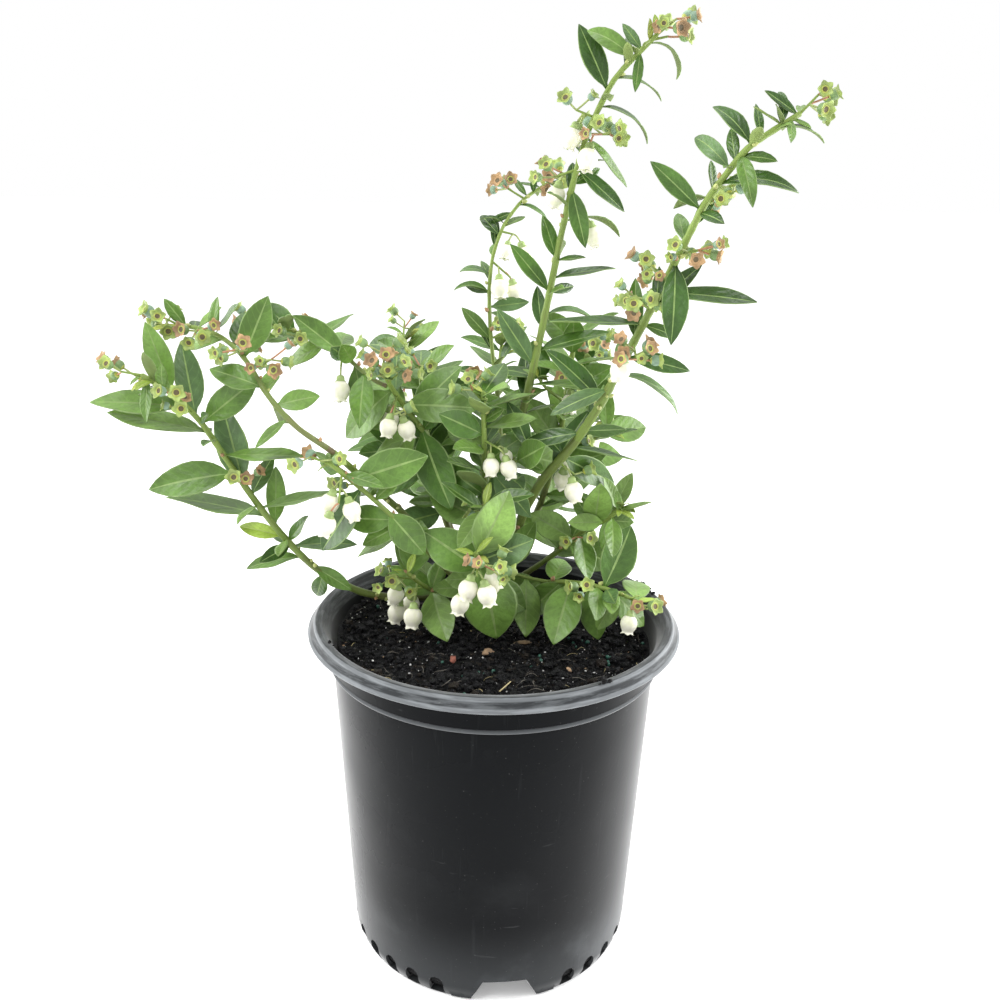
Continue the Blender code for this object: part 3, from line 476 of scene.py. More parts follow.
def grow_truss(bush, limb, truss, rng):
    """A flower truss: a short stalk with bells that hang from it and green fruits that stand off it."""
    share, word, bells, fruits = truss
    side, rise, _, _, _ = parse_word(word)
    root = along(limb.points, share)[0]
    count = bells + fruits
    aim = heading_vector(side, rise)
    bend = UP * STALK_BEND * (-count if bells else count)
    tip = root + aim * (STALK_LENGTH + STALK_PER_FLOWER * count) + bend
    stalk = Limb(limb.node, "stalk", [root, tip], STALK_THICK)
    bush.add_limb(stalk)
    for i, kind in enumerate(["bell"] * bells + ["fruit"] * fruits):
        place = along(stalk.points, (i + 1) / count)[0]
        size = (BELL_LENGTH if kind == "bell" else FRUIT_LENGTH) * rng.uniform(0.92, 1.08)
        for tries in range(FLOWER_TRIES):
            spin = atan2(aim.y, aim.x) + (i - (count - 1) / 2) * 1.5 + tries * 0.7 + rng.uniform(-0.3, 0.3)
            out = Vector((cos(spin), sin(spin), 0))
            if kind == "bell":
                start = out * 0.0032 - UP * 0.0030
                faces_to = (out * 0.32 - UP).normalized()
            else:
                start = out * 0.0045 + UP * rng.uniform(-0.0015, 0.0030)
                faces_to = (start.normalized() + TO_VIEWER * 0.35).normalized()
            flower = Flower(limb.node, kind, place, place + start, faces_to, size)
            if not bush.blocked(flower_solid(flower, TWIG_CLEAR, False)):
                bush.take(flower, flower_solid(flower, TWIG_CLEAR))
                bush.flowers.append(flower)
                break


def twig_path(root, aim, length):
    """A twig that goes straight for two thirds of its length, and then turns up a little."""
    bend = (aim + UP * 0.5).normalized()
    turn = root + aim * length * 0.65
    return [root, root + aim * length * 0.35, turn + bend * length * 0.05, turn + bend * length * 0.35]


def grow():
    """Grows the bush: first the limbs, then twigs, trusses and leaves, each where there is room."""
    rng = random.Random(SEED)
    bush = Bush()
    paths, stems = {}, {}
    for name, cane in CANES.items():
        if cane.grows_from:
            parent, share = cane.grows_from
            start, ahead = along(paths[parent], share)
            clear = TWIG_CLEAR if share == 1.0 else CANES[parent].thick[1] / 2 + cane.thick[0] / 2
        else:
            start, clear = CROWN, CROWN_RADIUS
        path = walk(start, cane.length, cane.leans, cane.headings, PATH_STEPS)
        paths[name] = path
        first = (clear + TWIG_CLEAR) / cane.length
        middle = cane.thick[0] + (cane.thick[1] - cane.thick[0]) * cane.bare
        bough = stretch(path, first, cane.bare, CANE_STEPS)
        bush.add_limb(Limb("cane_" + name, "cane", bough, (cane.thick[0], middle)))
        if name not in SHOOTS:
            continue
        start_share = cane.bare + TWIG_CLEAR / cane.length
        stem = stretch(path, start_share, 1.0, STEM_STEPS)
        stems[name] = Limb("shoot_" + name, "stem", stem, (middle, cane.thick[1]))
        bush.add_limb(stems[name])
    limbs = {}
    for name, shoot in SHOOTS.items():
        limbs[name] = [(stems[name], shoot.leaves)]
        for share, word, length, leaves in shoot.twigs:
            side, rise, _, _, _ = parse_word(word)
            path = twig_path(along(stems[name].points, share)[0], heading_vector(side, rise), length)
            twig = Limb("shoot_" + name, "twig", path, TWIG_THICK)
            if bush.add_limb(twig, stems[name], 1):
                limbs[name].append((twig, leaves))
    for name, shoot in SHOOTS.items():
        for truss in shoot.trusses:
            grow_truss(bush, stems[name], truss, rng)
    for name, shoot in SHOOTS.items():
        for limb, leaves in limbs[name]:
            grow_leaves(bush, limb, leaves, shoot.sizes, shoot.slim, rng)
    return bush


# Fine growth: small leaves, tufts, flowers and buds beside those of the rule, within the solids' reach
FINE_SEED = 29
TUFT_SEED = 30
LEAF_SEED = 31
FLOWER_SEED = 32
BUD_SEED = 33
CRUMB_SEED = 34
SPECK_SEED = 35
ADDED_SEED = 36
REACH = 0.002
FINE_SPACING = 0.0072
FINE_SIZES = (0.019, 0.012)
FINE_SPREAD = (0.75, 1.2)
FINE_WIDER = 0.04
FINE_ROLL = 35
TUFT_LEAVES = 4
TUFT_STEP = 0.02
TUFT_SIZES = (0.0065, 0.0115)
TUFT_SLIM = 0.38

# Flowers added beside each one of the rule, by kind: tries, and how far they stand out and up
ADDED = {
    "bell": (1, (0.0040, 0.0065), (0.0, -0.0035)),
    "fruit": (3, (0.0040, 0.0075), (-0.0030, 0.0045)),
}
ADDED_SIZES = (0.70, 0.98)
ADDED_CLEAR = 0.0001

# Shoots by the side of the bush, which is how their leaves are joined
GROUPS = {
    "left": ("low_left", "outer_left", "mid_left_lower", "upper_left", "flat_left"),
    "front": ("front", "front_left", "low_right", "rim_right"),
    "middle": ("centre_left", "centre", "centre_right"),
    "tall": ("slender", "tall", "right"),
    "back": ("back_left", "back", "back_right"),
}


def reach_of(node):
    """The corners of a node's box, let out by the reach."""
    low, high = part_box(node)
    return np.array(low) - REACH, np.array(high) + REACH


def inside(points, reach):
    points = np.array(points)
    return bool((points >= reach[0]).all() and (points <= reach[1]).all())


def run_of(limb):
    """A limb's length along its bends."""
    return sum((b - a).length for a, b in zip(limb.points, limb.points[1:]))


def leafy_limbs(bush):
    return [limb for limb in bush.limbs if limb.kind in ("stem", "twig")]


def add_flowers(bush):
    """Adds green fruits and bells beside those of the rule, where there is room within the shoot's reach."""
    rng = random.Random(ADDED_SEED)
    for flower in list(bush.flowers):
        reach = reach_of(flower.node)
        tries, far, up = ADDED[flower.kind]
        for _ in range(tries):
            size = flower.size * rng.uniform(*ADDED_SIZES)
            spin = rng.uniform(0, 2 * pi)
            out = Vector((cos(spin), sin(spin), 0))
            start = out * rng.uniform(*far) + UP * rng.uniform(*up)
            if flower.kind == "bell":
                aim = (out * 0.4 - UP).normalized()
            else:
                aim = (start.normalized() + TO_VIEWER * 0.35).normalized()
            added = Flower(flower.node, flower.kind, flower.stalk, flower.stalk + start, aim, size)
            solid = flower_solid(added, ADDED_CLEAR, False)
            if inside(solid[0], reach) and not bush.blocked(solid):
                bush.take(added, solid)
                bush.flowers.append(added)


def grow_finer(bush):
    """Carries every shoot and twig on to finer leaves, where there is room within the shoot's reach."""
    rng = random.Random(FINE_SEED)
    for limb in leafy_limbs(bush):
        reach = reach_of(limb.node)
        slim = SHOOTS[limb.node[len("shoot_"):]].slim + FINE_WIDER
        for aim, front, _, _ in dealt_leaves(int(run_of(limb) / FINE_SPACING), limb, rng):
            share = rng.uniform(0.04, 0.98)
            root = along(limb.points, share)[0]
            size = between(FINE_SIZES, share) * rng.uniform(*FINE_SPREAD)
            face = square_to(TO_VIEWER if front else LEAF_FACE, aim)
            face = Matrix.Rotation(radians(rng.uniform(-FINE_ROLL, FINE_ROLL)), 3, aim) @ face
            leaf = Leaf(limb.node, root, aim, face, size, size * slim, radians(rng.uniform(5, 45)))
            if inside(leaf_solid(leaf)[0], reach):
                bush.add_leaf(leaf, limb)


def tuft_leaves(bush):
    """A tuft of small young leaves at the end of each shoot and twig."""
    rng = random.Random(TUFT_SEED)
    young = []
    for limb in leafy_limbs(bush):
        reach = reach_of(limb.node)
        for i in range(TUFT_LEAVES):
            root, ahead = along(limb.points, 1.0 - TUFT_STEP * i)
            turn = rng.uniform(0, 2 * pi) + i * GOLDEN
            flat = square_to(Vector((cos(turn), sin(turn), 0.1)), ahead)
            aim = (ahead * rng.uniform(0.5, 1.0) + flat).normalized()
            size = rng.uniform(*TUFT_SIZES)
            face = square_to(LEAF_FACE, aim)
            leaf = Leaf(limb.node, root, aim, face, size, size * TUFT_SLIM, radians(rng.uniform(5, 50)))
            if inside(leaf_solid(leaf)[0], reach):
                young.append(leaf)
    return young


# Finishes: the soft edge of a band, and the painted highlight along the pot's collar where it steps out from
# its wall
BAND_EDGE = 0.0004
LEDGE_LOW = COLLAR_LOW - 0.0002
LEDGE_TOP = COLLAR_LOW + 0.0019


class Socket:
    """A shader value that plain Python maths adds its nodes to."""

    def __init__(self, finish, link):
        self.finish, self.link = finish, link

    def maths(self, operation, *others):
        return self.finish.node("ShaderNodeMath", {"operation": operation}, [self, *others])

    def __add__(self, other):
        return self.maths("ADD", other)

    def __sub__(self, other):
        return self.maths("SUBTRACT", other)

    def __rsub__(self, other):
        return self.finish.node("ShaderNodeMath", {"operation": "SUBTRACT"}, [other, self])

    def __mul__(self, other):
        return self.maths("MULTIPLY", other)

    __radd__ = __add__
    __rmul__ = __mul__


class Finish:
    """A Principled material and the nodes behind its sockets."""

    def __init__(self, name, colour, roughness, **constants):
        self.material = bpy.data.materials.new(name)
        self.material.use_nodes = True
        self.nodes = self.material.node_tree.nodes
        self.links = self.material.node_tree.links
        self.shader = self.nodes["Principled BSDF"]
        self.shader.inputs["Base Color"].default_value = (*colour, 1.0)
        self.shader.inputs["Roughness"].default_value = roughness
        for label, value in constants.items():
            self.shader.inputs[label.replace("_", " ")].default_value = value
        self.material.diffuse_color = (*colour, 1.0)

    def node(self, kind, settings=None, values=(), output=0):
        """One node: its settings first, then the values or links of its sockets by place or by name."""
        made = self.nodes.new(kind)
        for label, value in (settings or {}).items():
            setattr(made, label, value)
        pairs = values.items() if isinstance(values, dict) else enumerate(values)
        for label, value in pairs:
            if isinstance(value, Socket):
                self.links.new(value.link, made.inputs[label])
            elif value is not None:
                made.inputs[label].default_value = value
        return Socket(self, made.outputs[output])

    def feed(self, label, value):
        self.links.new(value.link, self.shader.inputs[label])

    def place(self, kind="Object"):
        return self.node("ShaderNodeTexCoord", output=("Generated", "Normal", "UV", "Object").index(kind))

    def apart(self, where):
        """The three numbers of a place, each as its own value."""
        split = self.node("ShaderNodeSeparateXYZ", {}, [where])
        return [Socket(self, output) for output in split.link.node.outputs]

    def stretched(self, where, scale):
        return self.node("ShaderNodeMapping", {}, {"Vector": where, "Scale": scale})

    def noise(self, scale, detail=2.0, where=None, rough=0.55):
        values = {"Vector": where or self.place(), "Scale": scale, "Detail": detail, "Roughness": rough}
        return self.node("ShaderNodeTexNoise", {}, values)

    def ramp(self, factor, low, high):
        """A value that goes smoothly from 0 at the low end to 1 at the high end."""
        settings = {"interpolation_type": "SMOOTHSTEP"}
        return self.node("ShaderNodeMapRange", settings, [factor, low, high, 0.0, 1.0])

    def band(self, value, low, high):
        """1 between two values and 0 outside them, with soft ends."""
        return self.ramp(value, low - BAND_EDGE, low) * (1.0 - self.ramp(value, high, high + BAND_EDGE))

    def mix(self, factor, first, second):
        """A colour between two, which may themselves be links."""
        made = self.nodes.new("ShaderNodeMix")
        made.data_type = "RGBA"
        for place, value in ((0, factor), (6, first), (7, second)):
            if isinstance(value, Socket):
                self.links.new(value.link, made.inputs[place])
            else:
                made.inputs[place].default_value = (*value, 1.0) if isinstance(value, tuple) else value
        return Socket(self, made.outputs[2])

    def bump(self, height, strength, distance):
        values = {"Height": height, "Strength": strength, "Distance": distance}
        self.feed("Normal", self.node("ShaderNodeBump", {}, values))


def shade(colour, factor):
    return tuple(min(1.0, value * factor) for value in colour)


def leaf_upper(name, colour, gloss):
    """The upper side of a leaf: pale side veins that leave the midrib slanting, and quilting between."""
    finish = Finish(name, colour, gloss, Specular_IOR_Level=0.42)
    across, lengthwise, _ = finish.apart(finish.place("UV"))
    side = (across - 0.5).maths("ABSOLUTE") * 2.0
    phase = lengthwise * 6.5 - side * 1.7 + finish.noise(230, 1.0) * 0.9
    vein = phase.maths("PINGPONG", 0.5) * 2.0
    line = finish.ramp(vein, 0.22, 0.0)
    broad = finish.ramp(finish.noise(60, 3.0), 0.34, 0.68)
    tone = finish.mix(broad, shade(colour, 0.70), shade(colour, 1.30))
    mottle = finish.ramp(finish.noise(760, 4.0), 0.42, 0.66)
    tone = finish.mix(mottle * 0.34, tone, shade(colour, 0.60))
    finish.feed("Base Color", finish.mix(line * 0.18, tone, shade(colour, 1.8)))
    finish.feed("Roughness", finish.noise(420, 2.0) * 0.24 + (gloss - 0.14))
    finish.bump(vein * 0.5 + finish.noise(700, 3.0) * 0.8, 0.36, 0.0005)
    return finish.material


def leaf_under(name, colour):
    """The paler, matt underside of a leaf."""
    finish = Finish(name, colour, 0.62, Specular_IOR_Level=0.25)
    tone = finish.ramp(finish.noise(120, 3.0), 0.35, 0.68)
    finish.feed("Base Color", finish.mix(tone, shade(colour, 0.86), shade(colour, 1.14)))
    finish.bump(finish.noise(700, 2.0), 0.22, 0.0003)
    return finish.material


def plain_skin(name, colour, roughness=0.5, spread=0.16):
    """A soft finish with a little change of tone, for midribs, calyxes, fruits, chips and the like."""
    finish = Finish(name, colour, roughness)
    tone = finish.ramp(finish.noise(240, 2.0), 0.34, 0.68)
    finish.feed("Base Color", finish.mix(tone, shade(colour, 1 - spread), shade(colour, 1 + spread)))
    return finish.material


def cane_skin(name, colour, streak):
    """Smooth young bark with darker streaks along the cane and fine pale warts."""
    finish = Finish(name, colour, 0.52, Specular_IOR_Level=0.4)
    around = finish.stretched(finish.place("UV"), (9, 60, 1))
    streaks = finish.ramp(finish.noise(1.6, 3.0, around), 0.46, 0.70)
    warts = finish.ramp(finish.noise(1500, 1.0), 0.64, 0.76)
    tone = finish.mix(streaks * 0.55, colour, streak)
    finish.feed("Base Color", finish.mix(warts * 0.5, tone, shade(colour, 1.7)))
    finish.bump(finish.noise(1.6, 3.0, around) + warts * 0.5, 0.35, 0.0004)
    return finish.material


def stump_wood():
    """Dry brown bark of the crown, streaked upright."""
    finish = Finish("stump_wood", (0.13, 0.09, 0.05), 0.85)
    streak = finish.ramp(finish.noise(300, 4.0, finish.stretched(finish.place(), (1, 1, 0.3))), 0.4, 0.7)
    finish.feed("Base Color", finish.mix(streak, (0.16, 0.115, 0.065), (0.05, 0.035, 0.022)))
    finish.bump(finish.noise(400, 4.0, finish.stretched(finish.place(), (1, 1, 0.3))), 0.8, 0.001)
    return finish.material


def petal_skin():
    """Waxy white corolla with a faint green cast."""
    colour = (0.80, 0.785, 0.655)
    finish = Finish("petal_white", colour, 0.40, Specular_IOR_Level=0.4, Subsurface_Weight=0.12,
                    Subsurface_Radius=(0.004, 0.004, 0.003), Subsurface_Scale=0.4)
    tone = finish.ramp(finish.noise(330, 2.0), 0.40, 0.72)
    finish.feed("Base Color", finish.mix(tone, colour, (0.72, 0.73, 0.53)))
    return finish.material


def pot_plastic():
    """Satin black plastic: dusty, with fine upright drag marks, a grey foot and a grey, rubbed lip, with
    painted highlights along the lip's rounded edges and the collar's step, and pale painted glints.
    """
    finish = Finish("black_plastic_worn_and_highlit", (0.010, 0.011, 0.012), 0.34, Specular_IOR_Level=0.04,
                    Sheen_Weight=0.48, Sheen_Roughness=0.35)
    where = finish.place()
    x, y, height = finish.apart(where)
    out = (x * x + y * y).maths("SQRT")
    dust = finish.ramp(finish.noise(26, 5.0, where), 0.50, 0.80)
    drag = finish.ramp(finish.noise(34, 3.0, finish.stretched(where, (9, 9, 0.5))), 0.62, 0.80)
    marks = finish.ramp(finish.noise(46, 3.0, finish.stretched(where, (1.2, 1.2, 7))), 0.69, 0.76)
    # pale specks on the plastic: painted glints
    speck_glints = finish.ramp(finish.noise(1250, 1.0, where), 0.765, 0.80)
    along_lip = finish.node("ShaderNodeCombineXYZ", {}, [y.maths("ARCTAN2", x) * 0.010, out, height])
    smears = finish.ramp(finish.noise(520, 4.0, along_lip, 0.65), 0.42, 0.66)
    lip = finish.ramp(height, LIP_SKIRT_LOW - 0.0006, LIP_SKIRT_LOW)
    # a pale band on the lip's rounded top edge: a painted highlight
    crest_highlight = finish.band(out, LIP_RADIUS - 0.0034, LIP_RADIUS - 0.0027)
    crest_highlight = crest_highlight * finish.ramp(height, POT_HEIGHT - 0.0020, POT_HEIGHT - 0.0013)
    # a pale band on the rounded lower edge of the lip: a painted highlight
    bead_highlight = finish.band(height, LIP_SKIRT_LOW + 0.0004, LIP_SKIRT_LOW + 0.0019)
    bead_highlight = bead_highlight * finish.ramp(out, LIP_RADIUS - 0.0016, LIP_RADIUS - 0.0010)
    # a pale band where the collar steps out from the wall: a painted highlight
    ledge_highlight = finish.band(height, LEDGE_LOW, LEDGE_TOP)
    ledge_highlight = ledge_highlight * finish.ramp(out, WALL_HIGH_RADIUS, WALL_HIGH_RADIUS + 0.0004)
    foot = 1.0 - finish.ramp(height, 0.004, 0.045)
    # dust, drag marks and the rubbed lip are wear; the pale bands on the lip's edges and at the collar are
    # painted highlights
    wear_and_highlights = dust * 0.022 + drag * 0.018 + lip * (smears * 0.22 + 0.10) + crest_highlight * 0.34 + bead_highlight * 0.36
    wear_and_highlights = wear_and_highlights + ledge_highlight * 0.26 + foot * (dust * 0.14 + 0.09)
    colour = finish.mix(wear_and_highlights, (0.0030, 0.0036, 0.0044), (0.30, 0.320, 0.335))
    colour = finish.mix(marks * 0.05, colour, (0.30, 0.31, 0.31))
    finish.feed("Base Color", finish.mix(speck_glints * 0.14, colour, (0.42, 0.42, 0.40)))
    rough = dust * 0.10 + drag * 0.08 + lip * 0.08 + finish.noise(9, 2.0, where) * 0.08
    finish.feed("Roughness", rough + 0.24)
    dents = finish.noise(11, 2.0, where) + finish.noise(600, 2.0, where) * 0.012
    finish.bump(dents + drag * 0.01, 0.40, 0.003)
    return finish.material


def edge_highlight_plastic():
    """The eased edges of the plastic in a paler, mottled grey: a painted highlight along them."""
    finish = Finish("black_plastic_edge_highlight", (0.11, 0.115, 0.12), 0.40, Specular_IOR_Level=0.3)
    edge_mottle = finish.ramp(finish.noise(170, 3.0), 0.36, 0.64)
    finish.feed("Base Color", finish.mix(edge_mottle, (0.030, 0.032, 0.034), (0.20, 0.205, 0.21)))
    return finish.material


def mix_skin(name, colour, pale, share):
    """Crumbly potting mix: black, with browner fibres, and pale grains that are partly grey grit and partly
    painted glints.
    """
    finish = Finish(name, colour, 0.58, Specular_IOR_Level=0.20)
    # pale grains: partly grit, partly painted glints
    grain_and_glint = finish.ramp(finish.noise(1900, 3.0), 0.59, 0.67)
    brown = finish.ramp(finish.noise(330, 4.0), 0.54, 0.78)
    tone = finish.mix(brown * 0.5, colour, (0.020, 0.017, 0.015))
    finish.feed("Base Color", finish.mix(grain_and_glint * share, tone, pale))
    finish.bump(finish.noise(900, 5.0, rough=0.7), 1.0, 0.0024)
    return finish.material


class Joined:
    """Copies of small shapes, gathered as arrays and joined into one mesh."""

    def __init__(self):
        self.points, self.faces, self.slots, self.uvs, self.count = [], [], [], [], 0

    def add(self, points, faces, slots, uvs=None):
        """Adds one copy. Its slots are one for each face, or one for all."""
        self.points.append(np.asarray(points, dtype=np.float32))
        self.faces += [tuple(corner + self.count for corner in face) for face in faces]
        self.slots += [slots] * len(faces) if isinstance(slots, int) else list(slots)
        self.uvs.append(np.asarray(np.zeros((len(points), 2)) if uvs is None else uvs, dtype=np.float32))
        self.count += len(points)

    def mesh(self, name, materials, smooth=True):
        """One mesh of all the copies. The UV of a point goes to each face corner on it."""
        mesh = bpy.data.meshes.new(name)
        mesh.from_pydata(np.concatenate(self.points).tolist(), [], self.faces)
        layer = mesh.uv_layers.new(name="leaf")
        corners = np.empty(len(mesh.loops), dtype=np.int32)
        mesh.loops.foreach_get("vertex_index", corners)
        layer.data.foreach_set("uv", np.concatenate(self.uvs)[corners].ravel())
        mesh.polygons.foreach_set("material_index", self.slots)
        mesh.polygons.foreach_set("use_smooth", [smooth] * len(mesh.polygons))
        for material in materials:
            mesh.materials.append(material)
        mesh.update()
        return mesh


def piece(mesh, nodes=()):
    """Puts a mesh in the scene as a piece of the bush, in place of the CAD nodes that it stands for."""
    obj = bpy.data.objects.new(mesh.name, mesh)
    bpy.context.scene.collection.objects.link(obj)
    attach(obj, "root")
    if nodes:
        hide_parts(*nodes)
    return obj


def mesh_of(name, build):
    """A mesh from a function that shapes a bmesh."""
    bm = bmesh.new()
    build(bm)
    mesh = bpy.data.meshes.new(name)
    bm.to_mesh(mesh)
    bm.free()
    return mesh


def dressed(mesh, *materials):
    """A mesh shaded smooth, with these materials and no others."""
    for polygon in mesh.polygons:
        polygon.use_smooth = True
    mesh.materials.clear()
    for material in materials:
        mesh.materials.append(material)
    return mesh


def arrays_of(bm):
    """A bmesh as arrays: points, faces, material slots."""
    bm.verts.index_update()
    points = np.array([vert.co[:] for vert in bm.verts])
    faces = [tuple(vert.index for vert in face.verts) for face in bm.faces]
    slots = [face.material_index for face in bm.faces]
    bm.free()
    return points, faces, slots


# Turned shapes have five lobes, like the petals, on what stands out beyond a radius. A band gives its
# slot to the faces between two heights and within a radius
LOBES = 5
LOBED_BEYOND = 0.16
Band = namedtuple("Band", "slot low high radius")


def turned_shape(outline, steps, ribs=0.0, lobe_from=1.0, lobe_reach=0.0, bands=()):
    """A shape turned about Z from (radius, height) points, ribbed, and lobed towards its top, as arrays."""
    bm = bmesh.new()
    verts = [bm.verts.new((radius, 0.0, height)) for radius, height in outline]
    edges = [bm.edges.new(pair) for pair in zip(verts, verts[1:])]
    bmesh.ops.spin(bm, geom=verts + edges, cent=(0, 0, 0), axis=(0, 0, 1), angle=2 * pi, steps=steps,
                   use_merge=True, use_duplicate=False)
    bmesh.ops.remove_doubles(bm, verts=bm.verts, dist=1e-5)
    for face in bm.faces:
        middle = face.calc_center_median()
        for band in bands:
            if band.low <= middle.z <= band.high and hypot(middle.x, middle.y) <= band.radius:
                face.material_index = band.slot
    top = max(height for _, height in outline)
    for vert in bm.verts:
        wave = cos(LOBES * atan2(vert.co.y, vert.co.x))
        wide = 1 + ribs * wave
        if lobe_reach and vert.co.z >= lobe_from * top and hypot(vert.co.x, vert.co.y) > LOBED_BEYOND:
            wide += lobe_reach * (0.5 + 0.5 * wave) - lobe_reach * 0.35
            vert.co.z += 0.12 * lobe_reach * wave
        vert.co.x *= wide
        vert.co.y *= wide
    bmesh.ops.recalc_face_normals(bm, faces=bm.faces)
    return arrays_of(bm)


def turned_to(points, root, aim, size, spin):
    """A shape's points with its Z along an aim, scaled, turned and set on a root."""
    aim = Vector(aim).normalized()
    across = Matrix.Rotation(spin, 3, aim) @ aim.orthogonal().normalized()
    axes = np.array([across, aim.cross(across), aim]) * size
    return np.asarray(points) @ axes + np.array(root)


def tube(path, radii, sides, slot=0):
    """A closed tube along a path, with its own radius at each point, as arrays with UVs.

    The slot is one for all of it, or a function of the share along.
    """
    ahead = (path[1] - path[0]).normalized()
    across = ahead.orthogonal().normalized()
    points, faces, uvs, run = [], [], [], 0.0
    for i, point in enumerate(path):
        ahead = (path[min(i + 1, len(path) - 1)] - path[max(i - 1, 0)]).normalized()
        across = square_to(across, ahead)
        other = ahead.cross(across)
        run += (point - path[max(i - 1, 0)]).length
        for k in range(sides):
            angle = 2 * pi * k / sides
            points.append(point + (across * cos(angle) + other * sin(angle)) * radii[i])
            uvs.append((k / sides, run))
    for i in range(len(path) - 1):
        for k in range(sides):
            a, b = i * sides + k, i * sides + (k + 1) % sides
            faces.append((a, b, b + sides, a + sides))
    last = (len(path) - 1) * sides
    faces.append(tuple(reversed(range(sides))))
    faces.append(tuple(range(last, last + sides)))
    if isinstance(slot, int):
        return points, faces, slot, uvs
    slots = [slot(i // sides / (len(path) - 1)) if i < last else slot(1.0) for i in range(len(faces))]
    return points, faces, slots, uvs


def smoothed(path):
    """A path with its corners eased, its ends kept."""
    for _ in range(3):
        middle = [(a + b * 2 + c) / 4 for a, b, c in zip(path, path[1:], path[2:])]
        path = [path[0]] + middle + [path[-1]]
    return path


# Leaf blank: shares of the length and of the half width at which it is cut, and its material slots
ROWS = (0.0, 0.035, 0.09, 0.17, 0.28, 0.41, 0.54, 0.67, 0.79, 0.89, 0.96, 1.0)
SMALL_ROWS = (0.0, 0.06, 0.16, 0.34, 0.56, 0.78, 0.92, 1.0)
ACROSS = (-1.0, -0.93, -0.50, -0.06, 0.06, 0.50, 0.93, 1.0)
SMALL_ACROSS = (-1.0, -0.55, -0.09, 0.09, 0.55, 1.0)
UPPER, UNDER, RIB, EDGE = range(4)
MARGIN = 0.95
SHARPNESS = 0.90
STALK_WIDTH = 0.055
TIP_WIDTH = 0.03
# Blanks: rows, columns, the share at which each is fullest, and the share that is its stalk
BLANKS = {
    "slim": (ROWS, ACROSS, 0.46, 0.07),
    "broad": (ROWS, ACROSS, 0.47, 0.06),
    "small": (SMALL_ROWS, SMALL_ACROSS, 0.48, 0.05),
}
TINY_LEAF = 0.016
BROAD_LEAF = 0.42
BROAD_FOLD = (0.12, 0.38)
SLIM_FOLD = (0.24, 0.60)
BROAD_GAIN = 1.08
SLIM_GAIN = 1.02
MOST_TWIST = 26
THIN = 0.00022
THICKER = 0.004

# Upper sides of leaves, from the darkest to the young yellow-green ones: name, colour, roughness
LEAF_GREENS = (
    ("leaf_deep", (0.036, 0.090, 0.013), 0.34),
    ("leaf_dark", (0.062, 0.138, 0.020), 0.36),
    ("leaf_mid", (0.096, 0.188, 0.031), 0.38),
    ("leaf_blue", (0.090, 0.170, 0.054), 0.42),
    ("leaf_soft", (0.128, 0.235, 0.044), 0.40),
    ("leaf_light", (0.176, 0.300, 0.064), 0.40),
    ("leaf_young", (0.290, 0.410, 0.060), 0.38),
    ("leaf_tip", (0.350, 0.410, 0.078), 0.42),
)
LIGHT, FIRST_YOUNG = 5, 6
TUFT_GREENS = (4, 5, 6, 6, 7)
PALE_UNDERS = 0.4
# Parts in a hundred of each green in a group. The front group leans to the lighter greens, which paints the
# brighter light on the front of the bush
SHARES = {
    "left": (10, 22, 26, 10, 20, 9, 3, 0),
    "front": (0, 2, 9, 4, 37, 42, 6, 0),
    "middle": (10, 16, 22, 8, 26, 15, 3, 0),
    "tall": (44, 34, 11, 6, 3, 1, 1, 0),
    "back": (22, 30, 24, 12, 9, 3, 0, 0),
}


def leaf_outline(share, fullest):
    """Half width at a share of the blade: a tapered foot, fullest at one place, and a pointed tip."""
    blunt = SHARPNESS * fullest / (1 - fullest)
    peak = fullest ** blunt * (1 - fullest) ** SHARPNESS
    return share ** blunt * (1 - share) ** SHARPNESS / peak


def leaf_blank(rows, across, fullest, petiole):
    """A closed leaf blank: across in x from -1 to 1, along in y from 0 to 1, its thickness in z.

    The first rows are the petiole. Gives points, faces, slots and UVs.
    """
    bm = bmesh.new()
    bmesh.ops.create_grid(bm, x_segments=len(across) - 1, y_segments=len(rows) - 1, size=1.0)
    columns = sorted({round(vert.co.x, 4) for vert in bm.verts})
    levels = sorted({round(vert.co.y, 4) for vert in bm.verts})
    for vert in bm.verts:
        x = across[columns.index(round(vert.co.x, 4))]
        share = rows[levels.index(round(vert.co.y, 4))]
        y = petiole + share * (1 - petiole) if share > 0 else 0.0
        width = max(leaf_outline(share, fullest), STALK_WIDTH) if share < 1 else TIP_WIDTH
        vert.co = Vector((x * width, y, x))
    inner = min(abs(value) for value in across)
    for face in bm.faces:
        middle = abs(sum(vert.co.z for vert in face.verts) / 4)
        face.material_index = RIB if middle < inner else (EDGE if middle > MARGIN else UPPER)
    for vert in bm.verts:
        vert.co.z = 0.0
    bmesh.ops.recalc_face_normals(bm, faces=bm.faces)
    if sum(face.normal.z for face in bm.faces) < 0:
        bmesh.ops.reverse_faces(bm, faces=bm.faces)
    bmesh.ops.solidify(bm, geom=list(bm.faces), thickness=1.0)
    for face in bm.faces:
        low = sum(vert.co.z for vert in face.verts) / len(face.verts)
        if low < -0.25 and face.material_index != EDGE:
            face.material_index = UNDER
        elif low < -0.01:
            face.material_index = EDGE
    bmesh.ops.recalc_face_normals(bm, faces=bm.faces)
    points, faces, slots = arrays_of(bm)
    uvs = np.stack([points[:, 0] * 0.5 + 0.5, points[:, 1]], axis=1)
    return points, faces, slots, uvs


